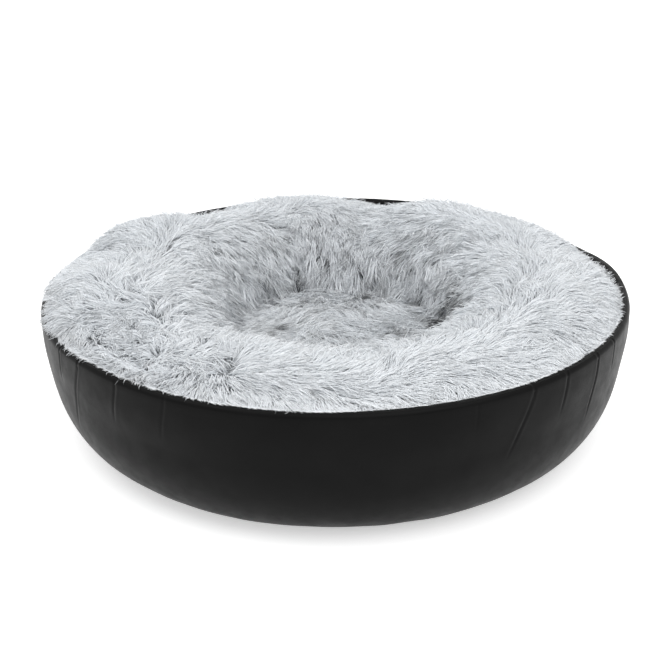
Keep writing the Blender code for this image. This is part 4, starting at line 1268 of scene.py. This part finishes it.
def settle(lines, rng):
    """Keep the hair above the well's floor, and let it lie on the rim as far as it reaches there."""
    inner_edge = RIM_CENTRE_RADIUS - RIM_WIDTH / 2
    root_angles = angles_of(lines[:, 0])
    puffed = apron_share(root_angles)
    ragged = rng.normal(0, HEM_RAGGEDNESS, len(lines)) + HEM_WAVES * smooth_noise(lines[:, 0], 0.014, 41)
    ragged *= 1 - 0.55 * bell(root_angles, *EVEN_HEM)
    end = np.hypot(lines[:, -1, 0], lines[:, -1, 1])
    start = np.hypot(lines[:, 0, 0], lines[:, 0, 1])
    reach = inner_edge + rim_reach(angles_of(lines[:, -1])) + ragged
    keep = np.where(end > reach, np.clip((reach - start) / np.maximum(end - start, 1e-4), 0, 1), 1.0)
    lines = lines[:, :1] + (lines - lines[:, :1]) * np.maximum(keep, 0.3)[:, None, None]
    r = np.hypot(lines[..., 0], lines[..., 1])
    angles = angles_of(lines)
    turn = np.radians(angles)
    floor = WELL_FLOOR_HEIGHT - 0.6 * FUR_DEPTH
    in_well = r < WELL_RADIUS + FUR_DEPTH
    z = lines[..., 2]
    lines[..., 2] = np.where(in_well, np.maximum(z, floor + 0.1 * (z - floor)), z)
    limit = inner_edge + rim_reach(angles) + ragged[:, None]
    over = np.maximum(r - limit, 0)
    r = np.where(over > 0, limit + np.minimum(PAST_REACH_SHARE * over, PAST_REACH), r)
    roll = RIM_WIDTH / 2 + HAIR_OFF_RIM
    away = np.clip((r - RIM_CENTRE_RADIUS) / roll, -1, 1)
    top = RIM_CENTRE_HEIGHT + roll * np.sqrt(1 - away ** 2) + rim_wave(angles)
    on_rim = r > inner_edge - 0.001
    out = np.clip((r - APRON_FROM) / (RIM_CENTRE_RADIUS - APRON_FROM), 0, 1)
    sunk = np.abs(rng.normal(0, SUNK_DEPTH, len(lines)))[:, None]
    apron = RIM_HEIGHT + APRON_HEIGHT * puffed[:, None] * (1 - out) - sunk
    z = lines[..., 2]
    z = np.where(out > 0, np.maximum(z, z + (apron - z) * out ** 0.5), z)
    z = np.where(on_rim, np.maximum(z, top), z)
    z = np.minimum(z, CREST_HEIGHT + 0.002 + 0.25 * np.maximum(z - CREST_HEIGHT - 0.002, 0))
    z[:, 0] = lines[:, 0, 2]
    return np.stack([r * np.cos(turn), r * np.sin(turn), z], -1), keep


def hair_mesh(name, lines, shades, hair_root_lifts):
    """Tapered three-sided hairs along lines, in one mesh with its map."""
    count, levels = lines.shape[:2]
    way = unit(np.gradient(lines, axis=1))
    side = unit(np.cross(way, np.array([0.31, 0.17, 0.93])))
    up = np.cross(way, side)
    shares = np.linspace(0, 1, levels)
    radius = HAIR_ROOT_RADIUS * (1 - (1 - HAIR_TIP_SHARE) * shares ** 1.5)
    turns = np.arange(3) * 2 * math.pi / 3
    around = side[:, :, None] * np.cos(turns)[:, None] + up[:, :, None] * np.sin(turns)[:, None]
    rings = lines[:, :-1, None] + around[:, :-1] * radius[:-1, None, None]
    per_hair = (levels - 1) * 3 + 1
    points = np.concatenate([rings.reshape(count, -1, 3), lines[:, -1:]], axis=1).reshape(-1, 3)
    quads = []
    for level in range(levels - 2):
        for k in range(3):
            a = level * 3 + k
            b = level * 3 + (k + 1) % 3
            quads.append((a, b, b + 3, a + 3))
    last = (levels - 2) * 3
    tips = [(last + k, last + (k + 1) % 3, last + 3) for k in range(3)]
    loops = np.concatenate([np.array(quads).ravel(), np.array(tips).ravel(), [2, 1, 0]])
    sizes = np.array([4] * len(quads) + [3] * (len(tips) + 1))
    offsets = np.arange(count)[:, None] * per_hair
    corners = (loops[None, :] + offsets).ravel()
    face_sizes = np.tile(sizes, count)
    mesh = bpy.data.meshes.new(name)
    mesh.vertices.add(len(points))
    mesh.vertices.foreach_set("co", points.astype(np.float32).ravel())
    mesh.loops.add(len(corners))
    mesh.loops.foreach_set("vertex_index", corners.astype(np.int32))
    mesh.polygons.add(len(face_sizes))
    starts = np.concatenate([[0], np.cumsum(face_sizes)[:-1]])
    mesh.polygons.foreach_set("loop_start", starts.astype(np.int32))
    mesh.update(calc_edges=True)
    mesh.shade_smooth()
    level_of = np.append(np.repeat(np.arange(levels - 1), 3), levels - 1) / (levels - 1)
    spread = np.append(np.tile((-0.004, 0.0, 0.004), levels - 1), 0.0)
    u = (shades[:, None] + spread[None, :]).ravel()
    # The map's y starts higher where painted root shade is taken off, so the root is lighter there.
    v = (0.01 + hair_root_lifts[:, None] + (0.98 - hair_root_lifts[:, None]) * level_of[None, :]).ravel()
    layer = mesh.uv_layers.new(name=HAIR_MAP)
    layer.data.foreach_set("uv", np.stack([u[corners], v[corners]], -1).astype(np.float32).ravel())
    return mesh


def make_fur():
    lines, shades, hair_root_lifts = make_hair_lines()
    order = np.argsort(angles_of(lines[:, 0]), kind="stable")
    parts = np.array_split(order, math.ceil(len(order) / HAIRS_PER_PIECE))
    for number, part in enumerate(parts):
        name = "fur_{:02d}".format(number)
        mesh = hair_mesh(name, lines[part], shades[part], hair_root_lifts[part])
        obj = new_object(name, mesh, FUR, "cushion")


def make_backing():
    """The cloth that the fur grows from: one piece on the bolster, one on the well's floor."""
    angles = np.arange(0, 360, 2.0)
    over = np.linspace(1, 3, 49)
    outer = skin(angles[None, :], over[:, None] + 0 * angles[None, :], FUR_DEPTH)
    inner = skin(angles[None, :], over[::-1, None] + 0 * angles[None, :], FUR_THICKNESS)
    edge = outer[-1:].copy()
    edge[..., 2] = CUSHION_SEAM_HEIGHT + SEAM_GAP
    low = inner[:1].copy()
    low[..., 2] = CUSHION_SEAM_HEIGHT + SEAM_GAP
    low[..., :2] *= (CUSHION_RADIUS - 2 * TUCKED_FUR_THICKNESS) / np.hypot(low[..., :1], low[..., 1:2])
    points = np.concatenate([outer, edge, low, inner])
    mesh = weld(grid_mesh("bolster_backing", points[::-1], wrap_rows=True, wrap_columns=True))
    bolster = new_object("bolster_backing", mesh, FUR_BACKING_PAINTED_SHADE, "cushion")
    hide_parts("bolster_cover")
    floor = np.linspace(0, 1, 17)
    top = skin(angles[None, :], floor[:, None] + 0 * angles[None, :], FUR_DEPTH)
    under = top[::-1].copy()
    under[..., 2] -= FUR_THICKNESS - FUR_DEPTH
    points = np.concatenate([top, under])
    mesh = weld(grid_mesh("floor_backing", points[::-1], wrap_columns=True))
    centre = new_object("floor_backing", mesh, FUR_BACKING_PAINTED_SHADE, "cushion")
    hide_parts("centre_cover")


# Stage
FLOOR_GLOW = 0.47
WORLD_LEVEL = 0.90


def seen_rays(tree):
    """1 for rays from the camera, from gloss and through glass, and 0 for the light on the object."""
    path = tree.nodes.new("ShaderNodeLightPath")
    seen = path.outputs["Is Camera Ray"]
    for name in ("Is Glossy Ray", "Is Transmission Ray"):
        more = tree.nodes.new("ShaderNodeMath")
        more.operation = "MAXIMUM"
        tree.links.new(seen, more.inputs[0])
        tree.links.new(path.outputs[name], more.inputs[1])
        seen = more.outputs["Value"]
    return seen


def make_floor():
    mesh = bpy.data.meshes.new("floor")
    half = 12.0
    corners = [(-half, -half, 0), (half, -half, 0), (half, half, 0), (-half, half, 0)]
    mesh.from_pydata(corners, [], [(0, 1, 2, 3)])
    floor = bpy.data.objects.new("floor", mesh)
    bpy.context.scene.collection.objects.link(floor)
    nodes = Nodes("pale_floor")
    cloud = nodes.noise(0.6, 2.0)
    seen = seen_rays(nodes.tree)
    nodes.principled(
        Base_Color=nodes.ramp(cloud, [(0.3, grey(0.90)), (0.7, grey(0.92))]),
        Roughness=0.8,
        Specular_IOR_Level=0.1,
        Emission_Color=(1.0, 1.0, 1.0, 1.0),
        Emission_Strength=nodes.math("MULTIPLY", seen, FLOOR_GLOW),
    )
    mesh.materials.append(nodes.material)


def make_world():
    """Soft white surroundings, seen as white by the camera and in reflections."""
    world = bpy.data.worlds.new("studio")
    bpy.context.scene.world = world
    world.use_nodes = True
    tree = world.node_tree
    background = tree.nodes["Background"]
    level = tree.nodes.new("ShaderNodeMapRange")
    level.inputs["To Min"].default_value = WORLD_LEVEL
    level.inputs["To Max"].default_value = 1.0
    tree.links.new(seen_rays(tree), level.inputs["Value"])
    tree.links.new(level.outputs["Result"], background.inputs["Strength"])
    background.inputs["Color"].default_value = (1.0, 1.0, 1.0, 1.0)


def add_lamp(name, place, aim, size, power):
    light = bpy.data.lights.new(name, "AREA")
    light.shape = "DISK"
    light.size = size
    light.energy = power
    lamp = bpy.data.objects.new(name, light)
    bpy.context.scene.collection.objects.link(lamp)
    lamp.location = place
    lamp.rotation_euler = (Vector(aim) - Vector(place)).to_track_quat("-Z", "Y").to_euler()


def make_camera():
    camera = bpy.data.cameras.new("camera")
    camera.sensor_fit = "HORIZONTAL"
    camera.lens = camera.sensor_width * FOCAL_PIXELS / PHOTO_PIXELS
    camera.clip_start = 0.05
    camera.clip_end = 60.0
    obj = bpy.data.objects.new("camera", camera)
    bpy.context.scene.collection.objects.link(obj)
    elevation = math.radians(CAMERA_ELEVATION_DEG)
    roll = math.radians(CAMERA_ROLL_DEG)
    back = Vector((0.0, -math.cos(elevation), math.sin(elevation)))
    right = Vector((1.0, 0.0, 0.0))
    up = back.cross(right)
    place = Vector((AIM_X, 0.0, AIM_Z)) + back * CAMERA_DISTANCE
    side = right * math.cos(roll) + up * math.sin(roll)
    top = up * math.cos(roll) - right * math.sin(roll)
    obj.matrix_world = Matrix.Translation(place) @ Matrix((side, top, back)).transposed().to_4x4()
    bpy.context.scene.camera = obj


def paint(name, material):
    obj = NODES[name]
    obj.data.materials.clear()
    obj.data.materials.append(material)
    obj.data.shade_smooth()
    obj.data.set_sharp_from_angle(angle=math.radians(40))


make_camera()
make_world()
make_floor()
add_lamp("key", (0.9, -1.5, 2.6), (0, 0, 0.1), 2.8, 28.5)
add_lamp("fill", (-1.4, -0.5, 2.5), (0, 0, 0.1), 1.8, 14.0)

make_cover()
make_binding()
make_shell_layers()
make_zip()
make_cushion_cloth()
make_fillings()
make_backing()
make_fur()

for node_name, material in (
    ("base_board", BOARD),
    ("zip_tape_upper", TAPE),
    ("zip_tape_lower", TAPE),
    ("zip_stop_closed", METAL),
    ("zip_stop_open", METAL),
    ("zip_slider", METAL),
    ("zip_pull_ring", METAL),
    ("zip_puller", METAL),
):
    paint(node_name, material)

bpy.context.scene.view_settings.view_transform = "Standard"
